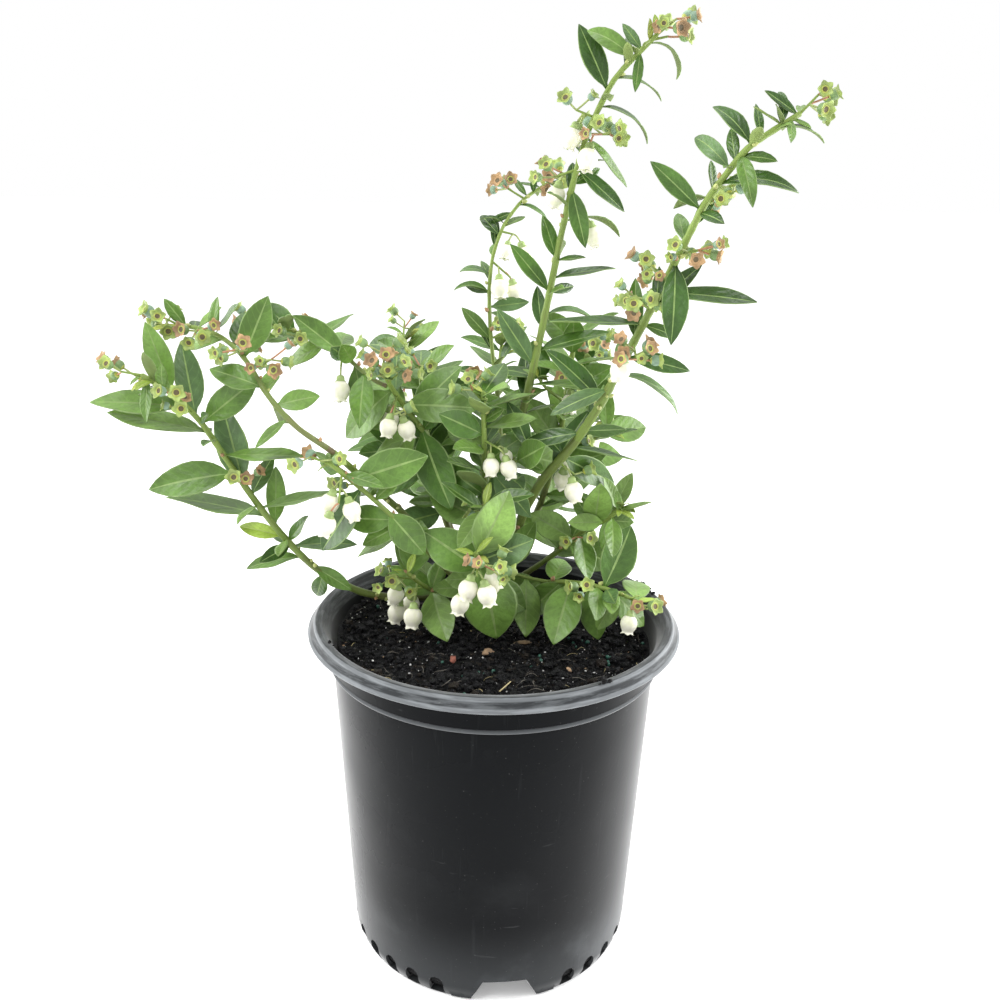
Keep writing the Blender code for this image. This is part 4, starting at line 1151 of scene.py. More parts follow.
def bent_leaf(leaf, points, fold, wave, twist, thick):
    """A blank's points on a leaf: bent along its arch, folded up from the midrib, waved and twisted."""
    x, share, z = points[:, 0], points[:, 1], points[:, 2]
    half = leaf.width / 2
    bend = leaf.arch * share
    arch = leaf.arch if abs(leaf.arch) > 1e-4 else 1e-4
    reach = leaf.length * np.sin(arch * share) / arch
    sag = leaf.length * (1 - np.cos(arch * share)) / arch
    forward, face = np.array(leaf.along), np.array(leaf.face)
    side = np.cross(forward, face)
    normal = np.outer(np.cos(bend), face) + np.outer(np.sin(bend), forward)
    spine = np.array(leaf.root) + np.outer(reach, forward) - np.outer(sag, face)
    out = np.abs(x) * half
    rise = out * fold - out * out / half * fold * 0.45
    rise += np.sin(share * wave[0] + wave[1] + np.sign(x) * wave[2]) * x * x * half * 0.10
    rise -= fold * half * 0.25 * np.sin(np.pi * share)
    turn = twist * share
    across = np.outer(np.cos(turn), side) + np.sin(turn)[:, None] * normal
    upward = np.cos(turn)[:, None] * normal - np.outer(np.sin(turn), side)
    narrow = np.sqrt(np.maximum(1 - fold * fold * 0.5, 0.2))
    return spine + across * (x * half * narrow)[:, None] + upward * (rise + z * thick)[:, None]


def pick_green(rng, group, leaf, in_tuft):
    """The green of a leaf: the yellow ones only go to small leaves."""
    if in_tuft:
        return rng.choice(TUFT_GREENS)
    pick = rng.choices(range(len(LEAF_GREENS)), SHARES[group])[0]
    return LIGHT if pick >= FIRST_YOUNG and leaf.length > SMALL_LEAF else pick


def make_leaves(bush, young):
    """Every leaf of a group in one mesh. Its green is dealt out leaf by leaf.

    After the greens come pairs of undersides, midribs and margins, the second of each for fresh leaves.
    """
    rng = random.Random(LEAF_SEED)
    uppers = [leaf_upper(*values) for values in LEAF_GREENS]
    others = [
        leaf_under("under_grey_green", (0.150, 0.205, 0.066)),
        leaf_under("under_pale", (0.21, 0.28, 0.085)),
        plain_skin("midrib_pale", (0.200, 0.300, 0.088)),
        plain_skin("midrib_young", (0.35, 0.44, 0.12)),
        plain_skin("margin_pale", (0.160, 0.250, 0.072)),
        plain_skin("margin_young", (0.30, 0.35, 0.075)),
    ]
    blanks = {name: leaf_blank(*cut) for name, cut in BLANKS.items()}
    leaves = [(leaf, False) for leaf in bush.leaves] + [(leaf, True) for leaf in young]
    first = len(uppers)
    for group, names in GROUPS.items():
        nodes = ["shoot_" + name for name in names]
        joined = Joined()
        for leaf, in_tuft in leaves:
            if leaf.node not in nodes:
                continue
            broad = leaf.width / leaf.length > BROAD_LEAF
            small = in_tuft or leaf.length < TINY_LEAF
            blank = blanks["small" if small else ("broad" if broad else "slim")]
            fold = rng.uniform(*(BROAD_FOLD if broad else SLIM_FOLD))
            wave = (rng.uniform(5, 9), rng.uniform(0, 6), rng.uniform(0, 1.6))
            twist = radians(rng.uniform(-MOST_TWIST, MOST_TWIST))
            shown = leaf._replace(width=leaf.width * (BROAD_GAIN if broad else SLIM_GAIN))
            points = bent_leaf(shown, blank[0], fold, wave, twist, THIN + THICKER * leaf.length)
            pick = pick_green(rng, group, leaf, in_tuft)
            fresh = int(pick >= FIRST_YOUNG)
            pale = 1 if fresh or rng.random() < PALE_UNDERS else 0
            deal = {UPPER: pick, UNDER: first + pale, RIB: first + 2 + fresh, EDGE: first + 4 + fresh}
            joined.add(points, blank[1], [deal[slot] for slot in blank[2]], blank[3])
        piece(joined.mesh("leaves_" + group, uppers + others), nodes)


# Canes: bark slots from the foot up, and the share of each cane that is brown at its foot. Below 0 the
# cane starts greener
BROWN, OLIVE, MOSS, GREEN, FRESH = range(5)
BARE_BROWN = {
    "mid_left": 0.50, "mid_left_lower": 0.45, "upper_left": 0.40, "low_left": 0.02,
    "centre": 0.45, "centre_left": 0.45, "centre_right": 0.45,
    "back": 0.4, "back_left": 0.4, "back_right": 0.4,
    "right": -0.30, "tall": -0.15, "slender": 0.16,
}
LEAST_BROWN = 0.10
FULL_BROWN = 0.55
BARK_STEPS = 4.2
RING_SPACING = 0.0028
FEWEST_RINGS = 8
KNOB = 0.16
KNOB_REACH = 0.0022
BARK_RELIEF = 0.05
FOOT_SWELL = 1.10
CANE_ROUND, TIP_ROUND, TWIG_ROUND = 12, 8, 7
TWIG_RINGS, STALK_RINGS = 10, 4


def bark_of(share, brown):
    """The bark's slot at a share of a cane: brown at the foot, then olive, moss, green and fresh."""
    bare = brown * FULL_BROWN
    if share < bare:
        return BROWN
    return min(FRESH, OLIVE + int((share - bare) / (1 - bare) * BARK_STEPS))


def cane_tube(name, limbs, roots):
    """The eased path of a whole cane from the crown to its tip, and its radii, with a knob at each leaf."""
    path, thick = [], []
    for limb in limbs:
        steps = max(FEWEST_RINGS, int((limb.points[-1] - limb.points[0]).length / RING_SPACING))
        path += stretch(limb.points, 0, 1, steps)
        thick += [between(limb.thick, i / steps) for i in range(steps + 1)]
    path = smoothed(path)
    if not CANES[name].grows_from:
        path.insert(0, CROWN.lerp(path[0], 0.45))
        thick.insert(0, thick[0] * FOOT_SWELL)
    radii = []
    for point, width in zip(path, thick):
        near = min((point - root).length for root in roots)
        knob = KNOB * max(0.0, 1 - near / KNOB_REACH)
        radii.append(width / 2 * (1 + knob + BARK_RELIEF * noise.noise(point * 330)))
    return path, radii


def make_canes(bush):
    """Canes from the crown to their tips, with their twigs and flower stalks, and with bark relief."""
    skins = [
        cane_skin("bark_brown", (0.150, 0.120, 0.060), (0.060, 0.045, 0.028)),
        cane_skin("bark_olive", (0.140, 0.165, 0.048), (0.080, 0.072, 0.032)),
        cane_skin("bark_moss", (0.130, 0.180, 0.038), (0.085, 0.082, 0.030)),
        cane_skin("bark_green", (0.155, 0.228, 0.042), (0.110, 0.108, 0.036)),
        cane_skin("bark_fresh", (0.188, 0.275, 0.052), (0.140, 0.150, 0.044)),
    ]
    joined = Joined()
    roots = [leaf.root for leaf in bush.leaves]
    whole = {}
    for limb in bush.limbs:
        if limb.kind in ("cane", "stem"):
            whole.setdefault(limb.node.split("_", 1)[1], []).append(limb)
    for name, limbs in whole.items():
        path, radii = cane_tube(name, limbs, roots)
        brown = BARE_BROWN.get(name, LEAST_BROWN)
        joined.add(*tube(path, radii, CANE_ROUND, lambda share, brown=brown: bark_of(share, brown)))
        tip, ahead = path[-1], (path[-1] - path[-2]).normalized()
        cap = [tip - ahead * 0.001, tip, tip + ahead * 0.0009]
        joined.add(*tube(cap, [radii[-1], radii[-1], 0.0003], TIP_ROUND, FRESH))
    for limb in bush.limbs:
        if limb.kind in ("twig", "stalk"):
            steps, skin = (TWIG_RINGS, GREEN) if limb.kind == "twig" else (STALK_RINGS, FRESH)
            path = smoothed(stretch(limb.points, 0, 1, steps))
            radii = [between(limb.thick, i / steps) / 2 for i in range(steps + 1)]
            joined.add(*tube(path, radii, TWIG_ROUND, skin))
    piece(joined.mesh("canes", skins), [limb.node for limb in bush.limbs if limb.kind == "cane"])


def stump_shape(bm):
    """A lumpy, fissured dome flared into the mix."""
    bmesh.ops.create_icosphere(bm, subdivisions=5, radius=CROWN_RADIUS)
    ground = SOIL_TOP + GAP - CROWN.z
    for vert in bm.verts:
        vert.co.z = max(vert.co.z, ground)
        ridge = noise.noise(Vector((vert.co.x, vert.co.y, vert.co.z * 0.4)) * 420)
        vert.co *= 1.0 + 0.06 * ridge if vert.co.z > -0.003 else 1.0
        vert.co.z = max(vert.co.z, ground)
    bmesh.ops.translate(bm, verts=bm.verts, vec=CROWN)
    bmesh.ops.dissolve_degenerate(bm, dist=1e-7, edges=bm.edges)
    bmesh.ops.recalc_face_normals(bm, faces=bm.faces)


def make_stump_bark():
    """The woody crown where the canes rise."""
    piece(dressed(mesh_of("stump_bark", stump_shape), stump_wood()), ["stump"])


# Bell from the pedicel's end to its mouth: (radius, height) as shares of its length
BELL_OUTLINE = ((0.0, 0.0), (0.07, 0.01), (0.13, 0.05), (0.155, 0.12), (0.150, 0.19), (0.20, 0.235),
                (0.205, 0.25), (0.16, 0.245), (0.20, 0.26), (0.275, 0.33), (0.330, 0.43), (0.352, 0.54),
                (0.345, 0.66), (0.300, 0.78), (0.235, 0.88), (0.205, 0.935), (0.235, 0.985), (0.255, 1.0),
                (0.225, 0.975), (0.185, 0.93), (0.20, 0.86), (0.24, 0.70), (0.20, 0.50), (0.0, 0.42))
PETAL, CALYX, STALK, BLUSH, STYLE = range(5)
BELL_RIBS = 0.035
# Green fruit from the pedicel's end to its crown, with a ringed disc inside the crown
FRUIT_OUTLINE = ((0.0, 0.0), (0.14, 0.02), (0.29, 0.12), (0.40, 0.27), (0.445, 0.44), (0.43, 0.60),
                 (0.40, 0.70), (0.44, 0.80), (0.56, 0.93), (0.60, 1.0), (0.53, 0.955), (0.38, 0.82),
                 (0.335, 0.76), (0.30, 0.80), (0.245, 0.80), (0.215, 0.745), (0.10, 0.735), (0.0, 0.76))
SKIN, BLOOM, CROWN_GREEN, CROWN_TAN, DISC_YELLOW, DISC_BROWN, FRUIT_STALK, FRUIT_BLUSH = range(8)
TURN_STEPS = 20
BELL_SCALE = 0.99
FRUIT_SCALE = 0.88
PEDICEL_RADIUS = 0.00042
PEDICEL_RINGS = 6
ANY_TURN = 6.28
# Bud: (radius, height) as shares of its length
BUD_OUTLINE = ((0.0, 0.0), (0.30, 0.08), (0.38, 0.30), (0.30, 0.60), (0.14, 0.88), (0.0, 1.0))
BUD_SPACING = 0.013
BUD_SIZES = (0.0016, 0.0030)


def pedicel(flower):
    """The curved path of a flower's own stalk."""
    bend = flower.root.lerp(flower.stalk, 0.5) - flower.aim * 0.0012
    end = flower.root + flower.aim * 0.0004
    return smoothed(stretch([flower.stalk, bend, end], 0, 1, PEDICEL_RINGS))


def make_flowers(bush):
    """Bells and green fruits, each kind joined, with their pedicels."""
    rng = random.Random(FLOWER_SEED)
    stalk = plain_skin("pedicel_green", (0.28, 0.34, 0.11))
    blush = plain_skin("pedicel_red", (0.38, 0.19, 0.10))
    bell_skins = [petal_skin(), plain_skin("calyx_green", (0.28, 0.38, 0.13)), stalk, blush,
                  plain_skin("style_green", (0.50, 0.58, 0.26))]
    fruit_skins = [
        plain_skin("fruit_green", (0.17, 0.27, 0.10), 0.48, 0.25),
        plain_skin("fruit_bloom", (0.21, 0.32, 0.22), 0.55, 0.25),
        plain_skin("crown_green", (0.29, 0.38, 0.10), 0.45, 0.3),
        plain_skin("crown_tan", (0.36, 0.23, 0.11), 0.55, 0.35),
        plain_skin("disc_yellow", (0.38, 0.42, 0.08), 0.35, 0.2),
        plain_skin("disc_brown", (0.10, 0.075, 0.03), 0.5, 0.2), stalk, blush]
    bell = turned_shape(BELL_OUTLINE, TURN_STEPS, BELL_RIBS, 0.90, 0.24, (Band(CALYX, -1, 0.252, 1.0),))
    disc = Band(DISC_YELLOW, 0.0, 0.83, 0.335), Band(DISC_BROWN, 0.70, 0.83, 0.20)
    fruit = turned_shape(FRUIT_OUTLINE, TURN_STEPS, 0.0, 0.86, 0.34, (Band(CROWN_GREEN, 0.70, 2, 1.0), *disc))
    bells, fruits = Joined(), Joined()
    for flower in bush.flowers:
        spin = rng.uniform(0, ANY_TURN)
        if flower.kind == "bell":
            size = flower.size * BELL_SCALE
            bells.add(turned_to(bell[0], flower.root, flower.aim, size, spin), bell[1], bell[2])
            tone = STALK if rng.random() < 0.7 else BLUSH
            bells.add(*tube(pedicel(flower), [PEDICEL_RADIUS] * (PEDICEL_RINGS + 1), 6, tone))
            mouth = flower.root + flower.aim * size
            style = [mouth + flower.aim * reach for reach in (-0.004, -0.001, 0.0004)]
            bells.add(*tube(style, [0.00022, 0.00022, 0.00030], 5, STYLE))
        else:
            skin = rng.choice((SKIN, SKIN, BLOOM))
            crown = rng.choice((CROWN_GREEN, CROWN_GREEN, CROWN_TAN))
            yellow = crown == CROWN_GREEN or rng.random() < 0.5
            deal = {SKIN: skin, CROWN_GREEN: crown, DISC_YELLOW: DISC_YELLOW if yellow else CROWN_TAN,
                    DISC_BROWN: DISC_BROWN}
            placed = turned_to(fruit[0], flower.root, flower.aim, flower.size * FRUIT_SCALE, spin)
            fruits.add(placed, fruit[1], [deal[slot] for slot in fruit[2]])
            tone = FRUIT_STALK if rng.random() < 0.75 else FRUIT_BLUSH
            fruits.add(*tube(pedicel(flower), [PEDICEL_RADIUS] * (PEDICEL_RINGS + 1), 6, tone))
    piece(bells.mesh("bells", bell_skins))
    piece(fruits.mesh("green_fruits", fruit_skins))


def make_buds(bush):
    """Small scaly buds that sit along canes and twigs."""
    rng = random.Random(BUD_SEED)
    tones = [plain_skin("bud_green", (0.40, 0.44, 0.15)), plain_skin("bud_tan", (0.36, 0.22, 0.11), 0.6)]
    points, faces, _ = turned_shape(BUD_OUTLINE, 8)
    joined = Joined()
    for limb in bush.limbs:
        if limb.kind == "stalk":
            continue
        for _ in range(int(run_of(limb) / BUD_SPACING)):
            share = rng.uniform(0.05, 0.98)
            root, ahead = along(limb.points, share)
            turn = rng.uniform(0, ANY_TURN)
            flat = square_to(Vector((cos(turn), sin(turn), 0.3)), ahead)
            aim = (flat + ahead * 0.9).normalized()
            foot = root + flat * between(limb.thick, share) * 0.42
            size = rng.uniform(*BUD_SIZES)
            tone = 0 if rng.random() < 0.65 else 1
            joined.add(turned_to(points, foot, aim, size, turn), faces, tone)
    piece(joined.mesh("buds", tones))


# Pot's shell: rows up its wall, steps round it, and eased edges
WALL_ROWS = 12
POT_ROUND = 160
FOOT_TOP = 0.0075
EDGE_WIDTH = 0.00040
SHARP_ANGLE = radians(48)


def arc(centre, radius, first, last, steps):
    """Points (radius, height) on a round corner of the pot's section, by angles in degrees."""
    angles = [radians(first + (last - first) * i / steps) for i in range(steps + 1)]
    return [(centre[0] + radius * cos(angle), centre[1] + radius * sin(angle)) for angle in angles]


def pot_section():
    """The pot's outline from the centre of its foot, up outside, over the lip and down inside."""
    wall = POT_WALL
    outline = [(0.0, 0.0), (0.040, 0.0), (FOOT_RADIUS - 0.0008, 0.0), (FOOT_RADIUS, 0.0008),
               (WALL_LOW_RADIUS - 0.0004, 0.0048), (WALL_LOW_RADIUS, FOOT_TOP)]
    for i in range(1, WALL_ROWS):
        share = i / WALL_ROWS
        radius = WALL_LOW_RADIUS + (WALL_HIGH_RADIUS - WALL_LOW_RADIUS) * share
        outline.append((radius, FOOT_TOP + (COLLAR_LOW - 0.0085) * share))
    outline += [(WALL_HIGH_RADIUS, COLLAR_LOW - 0.0004)]
    outline += arc((COLLAR_RADIUS - 0.0009, COLLAR_LOW + 0.0012), 0.0011, -80, 60, 5)
    outline += [(COLLAR_RADIUS - 0.0003, COLLAR_LOW + 0.0030)]
    outline += [(COLLAR_RADIUS + 0.0003, LIP_SKIRT_LOW - 0.0008)]
    outline += arc((COLLAR_RADIUS + 0.0011, LIP_SKIRT_LOW - 0.0001), 0.0006, 170, 90, 3)
    outline += arc((LIP_RADIUS - 0.0009, LIP_SKIRT_LOW + 0.0010), 0.0009, -90, 60, 6)
    outline += [(LIP_RADIUS - 0.0010, LIP_SKIRT_LOW + 0.0021), (LIP_RADIUS - 0.0027, POT_HEIGHT - 0.0016)]
    outline += arc((LIP_RADIUS - 0.0043, POT_HEIGHT - 0.0017), 0.0016, 20, 88, 5)
    outline += [(LIP_INNER_RADIUS + 0.0014, POT_HEIGHT - 0.0003)]
    outline += arc((LIP_INNER_RADIUS + 0.0012, POT_HEIGHT - 0.0015), 0.0012, 90, 180, 4)
    outline += [(COLLAR_RADIUS - wall + 0.0007, LIP_SKIRT_LOW), (COLLAR_RADIUS - wall, COLLAR_LOW + 0.003),
                (WALL_HIGH_RADIUS - wall, COLLAR_LOW - 0.0020), (WALL_LOW_RADIUS - wall, 0.006),
                (FOOT_RADIUS - wall, FLOOR), (0.040, FLOOR), (0.0, FLOOR)]
    return outline


def spun_section(bm, outline, steps, angle=2 * pi, start=0.0):
    """Spins a section about the pot's axis, all round or as a closed sector."""
    verts = [bm.verts.new((r * cos(start), r * sin(start), z)) for r, z in outline]
    if angle == 2 * pi:
        geom = verts + [bm.edges.new(pair) for pair in zip(verts, verts[1:])]
    else:
        face = bm.faces.new(verts)
        geom = [face] + list(face.edges) + verts
    bmesh.ops.spin(bm, geom=geom, cent=(0, 0, 0), axis=(0, 0, 1), angle=angle, steps=steps,
                   use_merge=angle == 2 * pi, use_duplicate=False)
    bmesh.ops.remove_doubles(bm, verts=bm.verts, dist=1e-6)
    bmesh.ops.recalc_face_normals(bm, faces=bm.faces)


def channel_cover(bm, turn, grow=0.0):
    """The raised floor over a drain channel: a sector that slopes down to the centre pad."""
    half = COVER_HALF + grow / CHANNEL_END
    inner, outer = COVER_INNER - grow, COVER_OUTER + grow
    low, top = FLOOR / 2, CHANNEL_HEIGHT + COVER_THICKNESS + grow
    outline = [(inner, low), (outer, low), (outer, top), (outer - FOOT_BEND, top), (inner, FLOOR + grow)]
    spun_section(bm, outline, 8, 2 * half, turn - half)


def channel_hollow(bm, turn):
    """A trapezoid at the wall that narrows and dies out towards the centre pad."""
    bmesh.ops.create_cube(bm, size=2.0)
    slope = (CHANNEL_HALF_BASE - CHANNEL_HALF_TOP) / CHANNEL_HEIGHT
    for vert in bm.verts:
        at_wall, at_top = vert.co.x > 0, vert.co.z > 0
        x = NOTCH_OUTER if at_wall else CHANNEL_END
        z = (CHANNEL_HEIGHT if at_wall else NOTCH_LOW / 2) if at_top else NOTCH_LOW
        half = (CHANNEL_HALF_BASE - slope * z) if at_wall else (0.004 if at_top else 0.006)
        vert.co = Vector((x, half if vert.co.y > 0 else -half, z))
    edges = [edge for edge in bm.edges if all(vert.co.z > 0 for vert in edge.verts)
             and abs(edge.verts[0].co.x - edge.verts[1].co.x) > 0.01]
    bmesh.ops.bevel(bm, geom=edges, offset=0.0022, affect="EDGES", segments=3, profile=0.5, material=-1)
    bmesh.ops.rotate(bm, verts=bm.verts, matrix=Matrix.Rotation(turn, 3, "Z"))
    bmesh.ops.recalc_face_normals(bm, faces=bm.faces)


def arch_hollow(bm, turn):
    """A small round-topped window through the foot of the wall."""
    half = ARCH_WIDTH / 2
    outline = [(-half, ARCH_LOW), (half, ARCH_LOW)]
    outline += [(half * cos(pi * i / 10), ARCH_HEIGHT - half + half * sin(pi * i / 10)) for i in range(11)]
    face = bm.faces.new([bm.verts.new((ARCH_INNER, y, z)) for y, z in outline])
    made = bmesh.ops.extrude_face_region(bm, geom=[face])
    moved = [item for item in made["geom"] if isinstance(item, bmesh.types.BMVert)]
    bmesh.ops.translate(bm, verts=moved, vec=(NOTCH_OUTER - ARCH_INNER, 0, 0))
    bmesh.ops.rotate(bm, verts=bm.verts, matrix=Matrix.Rotation(turn, 3, "Z"))
    bmesh.ops.recalc_face_normals(bm, faces=bm.faces)


def cut_mesh(mesh, cuts):
    """A mesh after its union and difference with lists of helper shapes, which are then removed."""
    obj = bpy.data.objects.new(mesh.name, mesh)
    bpy.context.scene.collection.objects.link(obj)
    helpers, groups = [], []
    for operation, builds in cuts:
        group = bpy.data.collections.new(operation)
        groups.append(group)
        bpy.context.scene.collection.children.link(group)
        for build in builds:
            helper = bpy.data.objects.new(operation, mesh_of(operation, build))
            group.objects.link(helper)
            helpers.append(helper)
        modifier = obj.modifiers.new(operation, "BOOLEAN")
        modifier.operation, modifier.operand_type, modifier.collection = operation, "COLLECTION", group
        modifier.solver = "EXACT"
    bpy.context.view_layer.update()
    done = bpy.data.meshes.new_from_object(obj.evaluated_get(bpy.context.evaluated_depsgraph_get()))
    for helper in helpers + [obj]:
        bpy.data.objects.remove(helper, do_unlink=True)
    for group in groups:
        bpy.data.collections.remove(group)
    return done


def channel_turns():
    return [CHANNEL_TURN + 2 * pi * i / CHANNELS for i in range(CHANNELS)]


def make_pot_shell():
    """The nursery pot: lip, collar, wall, drain channels and arches, with eased edges."""
    turns = channel_turns()
    covers = [lambda bm, turn=turn: channel_cover(bm, turn) for turn in turns]
    hollows = [lambda bm, turn=turn: channel_hollow(bm, turn) for turn in turns]
    hollows += [lambda bm, at=turn + ARCH_FIRST + i * ARCH_STEP: arch_hollow(bm, at)
                for turn in turns for i in range(ARCHES_BETWEEN)]
    whole = mesh_of("pot_whole", lambda bm: spun_section(bm, pot_section(), POT_ROUND))
    mesh = cut_mesh(whole, (("UNION", covers), ("DIFFERENCE", hollows)))
    mesh.name = "pot_shell"
    shell = piece(dressed(mesh, pot_plastic(), edge_highlight_plastic()), ["pot"])
    ease = shell.modifiers.new("eased edges", "BEVEL")
    ease.width, ease.segments, ease.limit_method, ease.angle_limit = EDGE_WIDTH, 2, "ANGLE", SHARP_ANGLE
    # the eased edges take the paler grey, a painted highlight
    ease.material = 1
    flat = shell.modifiers.new("flat faces", "WEIGHTED_NORMAL")
    flat.keep_sharp = True


# Potting mix. It has drifted up against the wall, most on the left
DRIFT = 0.0052
CLODS = 1500
CRUMBS = 8500
WHITE_SPECKS = 1100
BROWN_SPECKS = 80
ROOT_HAIRS = 150
HAIR_POINTS = 6
TOP_RINGS = 46
MIX_ROUND = 150
# Clods on the rim and feed prills as (x, y, count, spread), chips as (x, y, size, tone)
RIM_CLODS = ((0.0718, 0.0294, 26, 0.0022), (0.0712, 0.0392, 16, 0.0022), (0.0430, -0.0634, 26, 0.0020),
             (-0.0667, -0.0366, 8, 0.0016), (0.058, 0.050, 8, 0.002), (-0.030, 0.072, 8, 0.003))
PRILLS = ((0.0505, -0.0221, 10, 0.0035), (0.0351, -0.0066, 6, 0.004), (-0.0096, -0.0414, 4, 0.002),
          (0.010, -0.020, 14, 0.028), (-0.010, 0.010, 14, 0.040))
WHITE, PRILL, TAN, UMBER, RED, STRAW, HAIR = range(7)
CHIPS = ((-0.0174, -0.0287, (0.0026, 0.0024, 0.0020), RED), (-0.0023, -0.0222, (0.0030, 0.0026, 0.0017), TAN),
         (0.0133, -0.0085, (0.0042, 0.0020, 0.0012), UMBER), (0.0326, -0.0352, (0.0024, 0.0015, 0.0012), TAN),
         (-0.0240, 0.0, (0.0022, 0.0014, 0.001), UMBER), (0.024, 0.006, (0.0018, 0.0012, 0.001), TAN))
STRAW_ENDS = (0.003, -0.0565, 0.1500), (0.0075, -0.050, 0.1512)


def mix_height(x, y):
    """The height of the mix's rough surface at a place."""
    out = hypot(x, y)
    edge = min(max(0.0, (out - SOIL_FLAT_RADIUS) / (MIX_EDGE - SOIL_FLAT_RADIUS)), 1.0)
    where = Vector((x, y, 0.0))
    left = max(0.0, -x / max(out, 0.001)) ** 0.5
    drift = DRIFT * edge ** 2 * (left + 0.35) * (1 + 0.5 * noise.noise(where * 60))
    base = SOIL_TOP - (SOIL_TOP - SOIL_EDGE) * edge ** 1.5
    rough = noise.fractal(where * 95, 0.9, 2.1, 5) * 0.0017 + noise.noise(where * 32) * 0.0012
    return base + drift + rough


def make_mix_bed():
    """The body of the mix, its top broken up into lumps and hollows."""
    low, high = WALL_LOW_RADIUS - POT_WALL - GAP, WALL_HIGH_RADIUS - POT_WALL - GAP
    outline = [(0.0, FLOOR + GAP), (FOOT_RADIUS - POT_WALL - GAP, FLOOR + GAP), (low, FOOT_BEND)]
    outline += [(high, COLLAR_LOW - 0.0024), (high, SOIL_EDGE - 0.001)]
    outline += [(high * (1 - i / TOP_RINGS), SOIL_TOP) for i in range(TOP_RINGS + 1)]
    rooms = [lambda bm, turn=turn: channel_cover(bm, turn, GAP) for turn in channel_turns()]
    whole = mesh_of("mix_whole", lambda bm: spun_section(bm, outline, MIX_ROUND))
    mesh = cut_mesh(whole, (("DIFFERENCE", rooms),))
    mesh.name = "mix_bed"
    for vert in mesh.vertices:
        if vert.co.z > SOIL_TOP - 0.0001:
            vert.co.z = mix_height(vert.co.x, vert.co.y)
    skin = mix_skin("mix_black", (0.0034, 0.0034, 0.0040), (0.10, 0.10, 0.11), 0.30)
    piece(dressed(mesh, skin), ["soil"])


def lumps(subdivisions, count, rng):
    """Uneven crumb shapes: icospheres pushed in and out."""
    found = []
    for _ in range(count):
        bm = bmesh.new()
        bmesh.ops.create_icosphere(bm, subdivisions=subdivisions, radius=1.0)
        shift = Vector((rng.uniform(0, 99), rng.uniform(0, 99), 0))
        for vert in bm.verts:
            vert.co *= 1.0 + 0.75 * noise.noise(vert.co * 1.9 + shift)
        bmesh.ops.scale(bm, vec=(1.0, rng.uniform(0.6, 0.95), rng.uniform(0.5, 0.85)), verts=bm.verts)
        found.append(arrays_of(bm))
    return found


def dropped(joined, shape, x, y, size, rng, tone, sunk=0.25, height=None):
    """Drops a small shape on the mix at a place, turned at random and a little sunk."""
    spin = Matrix.Rotation(rng.uniform(0, ANY_TURN), 3, "Z") @ Matrix.Rotation(rng.uniform(-0.5, 0.5), 3, "X")
    scale = np.array(size) if isinstance(size, tuple) else np.array((size, size, size))
    points = (shape[0] * scale) @ np.array(spin.transposed())
    level = mix_height(x, y) if height is None else height
    points = points + np.array((x, y, level - sunk * scale[2]))
    points[:, 2] += scale[2] * 0.6
    joined.add(points, shape[1], tone)


def spot(rng, most=MIX_EDGE - 0.0012):
    """A place on the mix, dealt evenly over it."""
    out, turn = most * rng.random() ** 0.5, rng.uniform(0, 2 * pi)
    return out * cos(turn), out * sin(turn)


def scattered(clusters, rng):
    """Places round the middle of each cluster."""
    for x, y, count, spread in clusters:
        for _ in range(count):
            yield x + rng.gauss(0, spread), y + rng.gauss(0, spread)


def make_crumbs():
    """Crumbs and clods of the mix, some of them on the rim."""
    rng = random.Random(CRUMB_SEED)
    skins = [
        mix_skin("crumb_black", (0.0024, 0.0026, 0.0034), (0.17, 0.17, 0.18), 0.42),
        mix_skin("crumb_brown", (0.015, 0.011, 0.008), (0.20, 0.17, 0.13), 0.35),
        mix_skin("crumb_grey", (0.036, 0.036, 0.040), (0.30, 0.30, 0.30), 0.45),
    ]
    small, large = lumps(1, 6, rng), lumps(2, 6, rng)
    crumbs, clods = Joined(), Joined()
    for _ in range(CRUMBS):
        tone = rng.choices((0, 1, 2), (80, 12, 8))[0]
        dropped(crumbs, rng.choice(small), *spot(rng), rng.uniform(0.00020, 0.00095), rng, tone,
                rng.uniform(-0.4, 0.4))
    for _ in range(CLODS):
        tone = rng.choices((0, 1), (88, 12))[0]
        dropped(clods, rng.choice(large), *spot(rng, MIX_EDGE - 0.002), 0.0006 + 0.0020 * rng.random() ** 2,
                rng, tone, rng.uniform(-0.1, 0.5))
    for x, y in scattered(RIM_CLODS, rng):
        if LIP_INNER_RADIUS < hypot(x, y) < LIP_RADIUS - 0.003:
            dropped(clods, rng.choice(large), x, y, rng.uniform(0.0005, 0.0013), rng, 0, 0.1, POT_HEIGHT)
    piece(crumbs.mesh("mix_crumbs", skins, False))
    piece(clods.mesh("mix_clods", skins, False))


def hair_path(rng):
    """A short wandering path just over the mix, for a root hair. It stops at the wall."""
    x, y = spot(rng)
    turn, length = rng.uniform(0, ANY_TURN), rng.uniform(0.003, 0.010)
    path = []
    for i in range(HAIR_POINTS):
        turn += rng.uniform(-0.5, 0.5)
        lift = 0.0006 + 0.0010 * sin(i / (HAIR_POINTS - 1) * pi)
        path.append(Vector((x, y, mix_height(x, y) + lift)))
        x, y = x + cos(turn) * length / (HAIR_POINTS - 1), y + sin(turn) * length / (HAIR_POINTS - 1)
        if hypot(x, y) > MIX_EDGE - 0.002:
            break
    return path


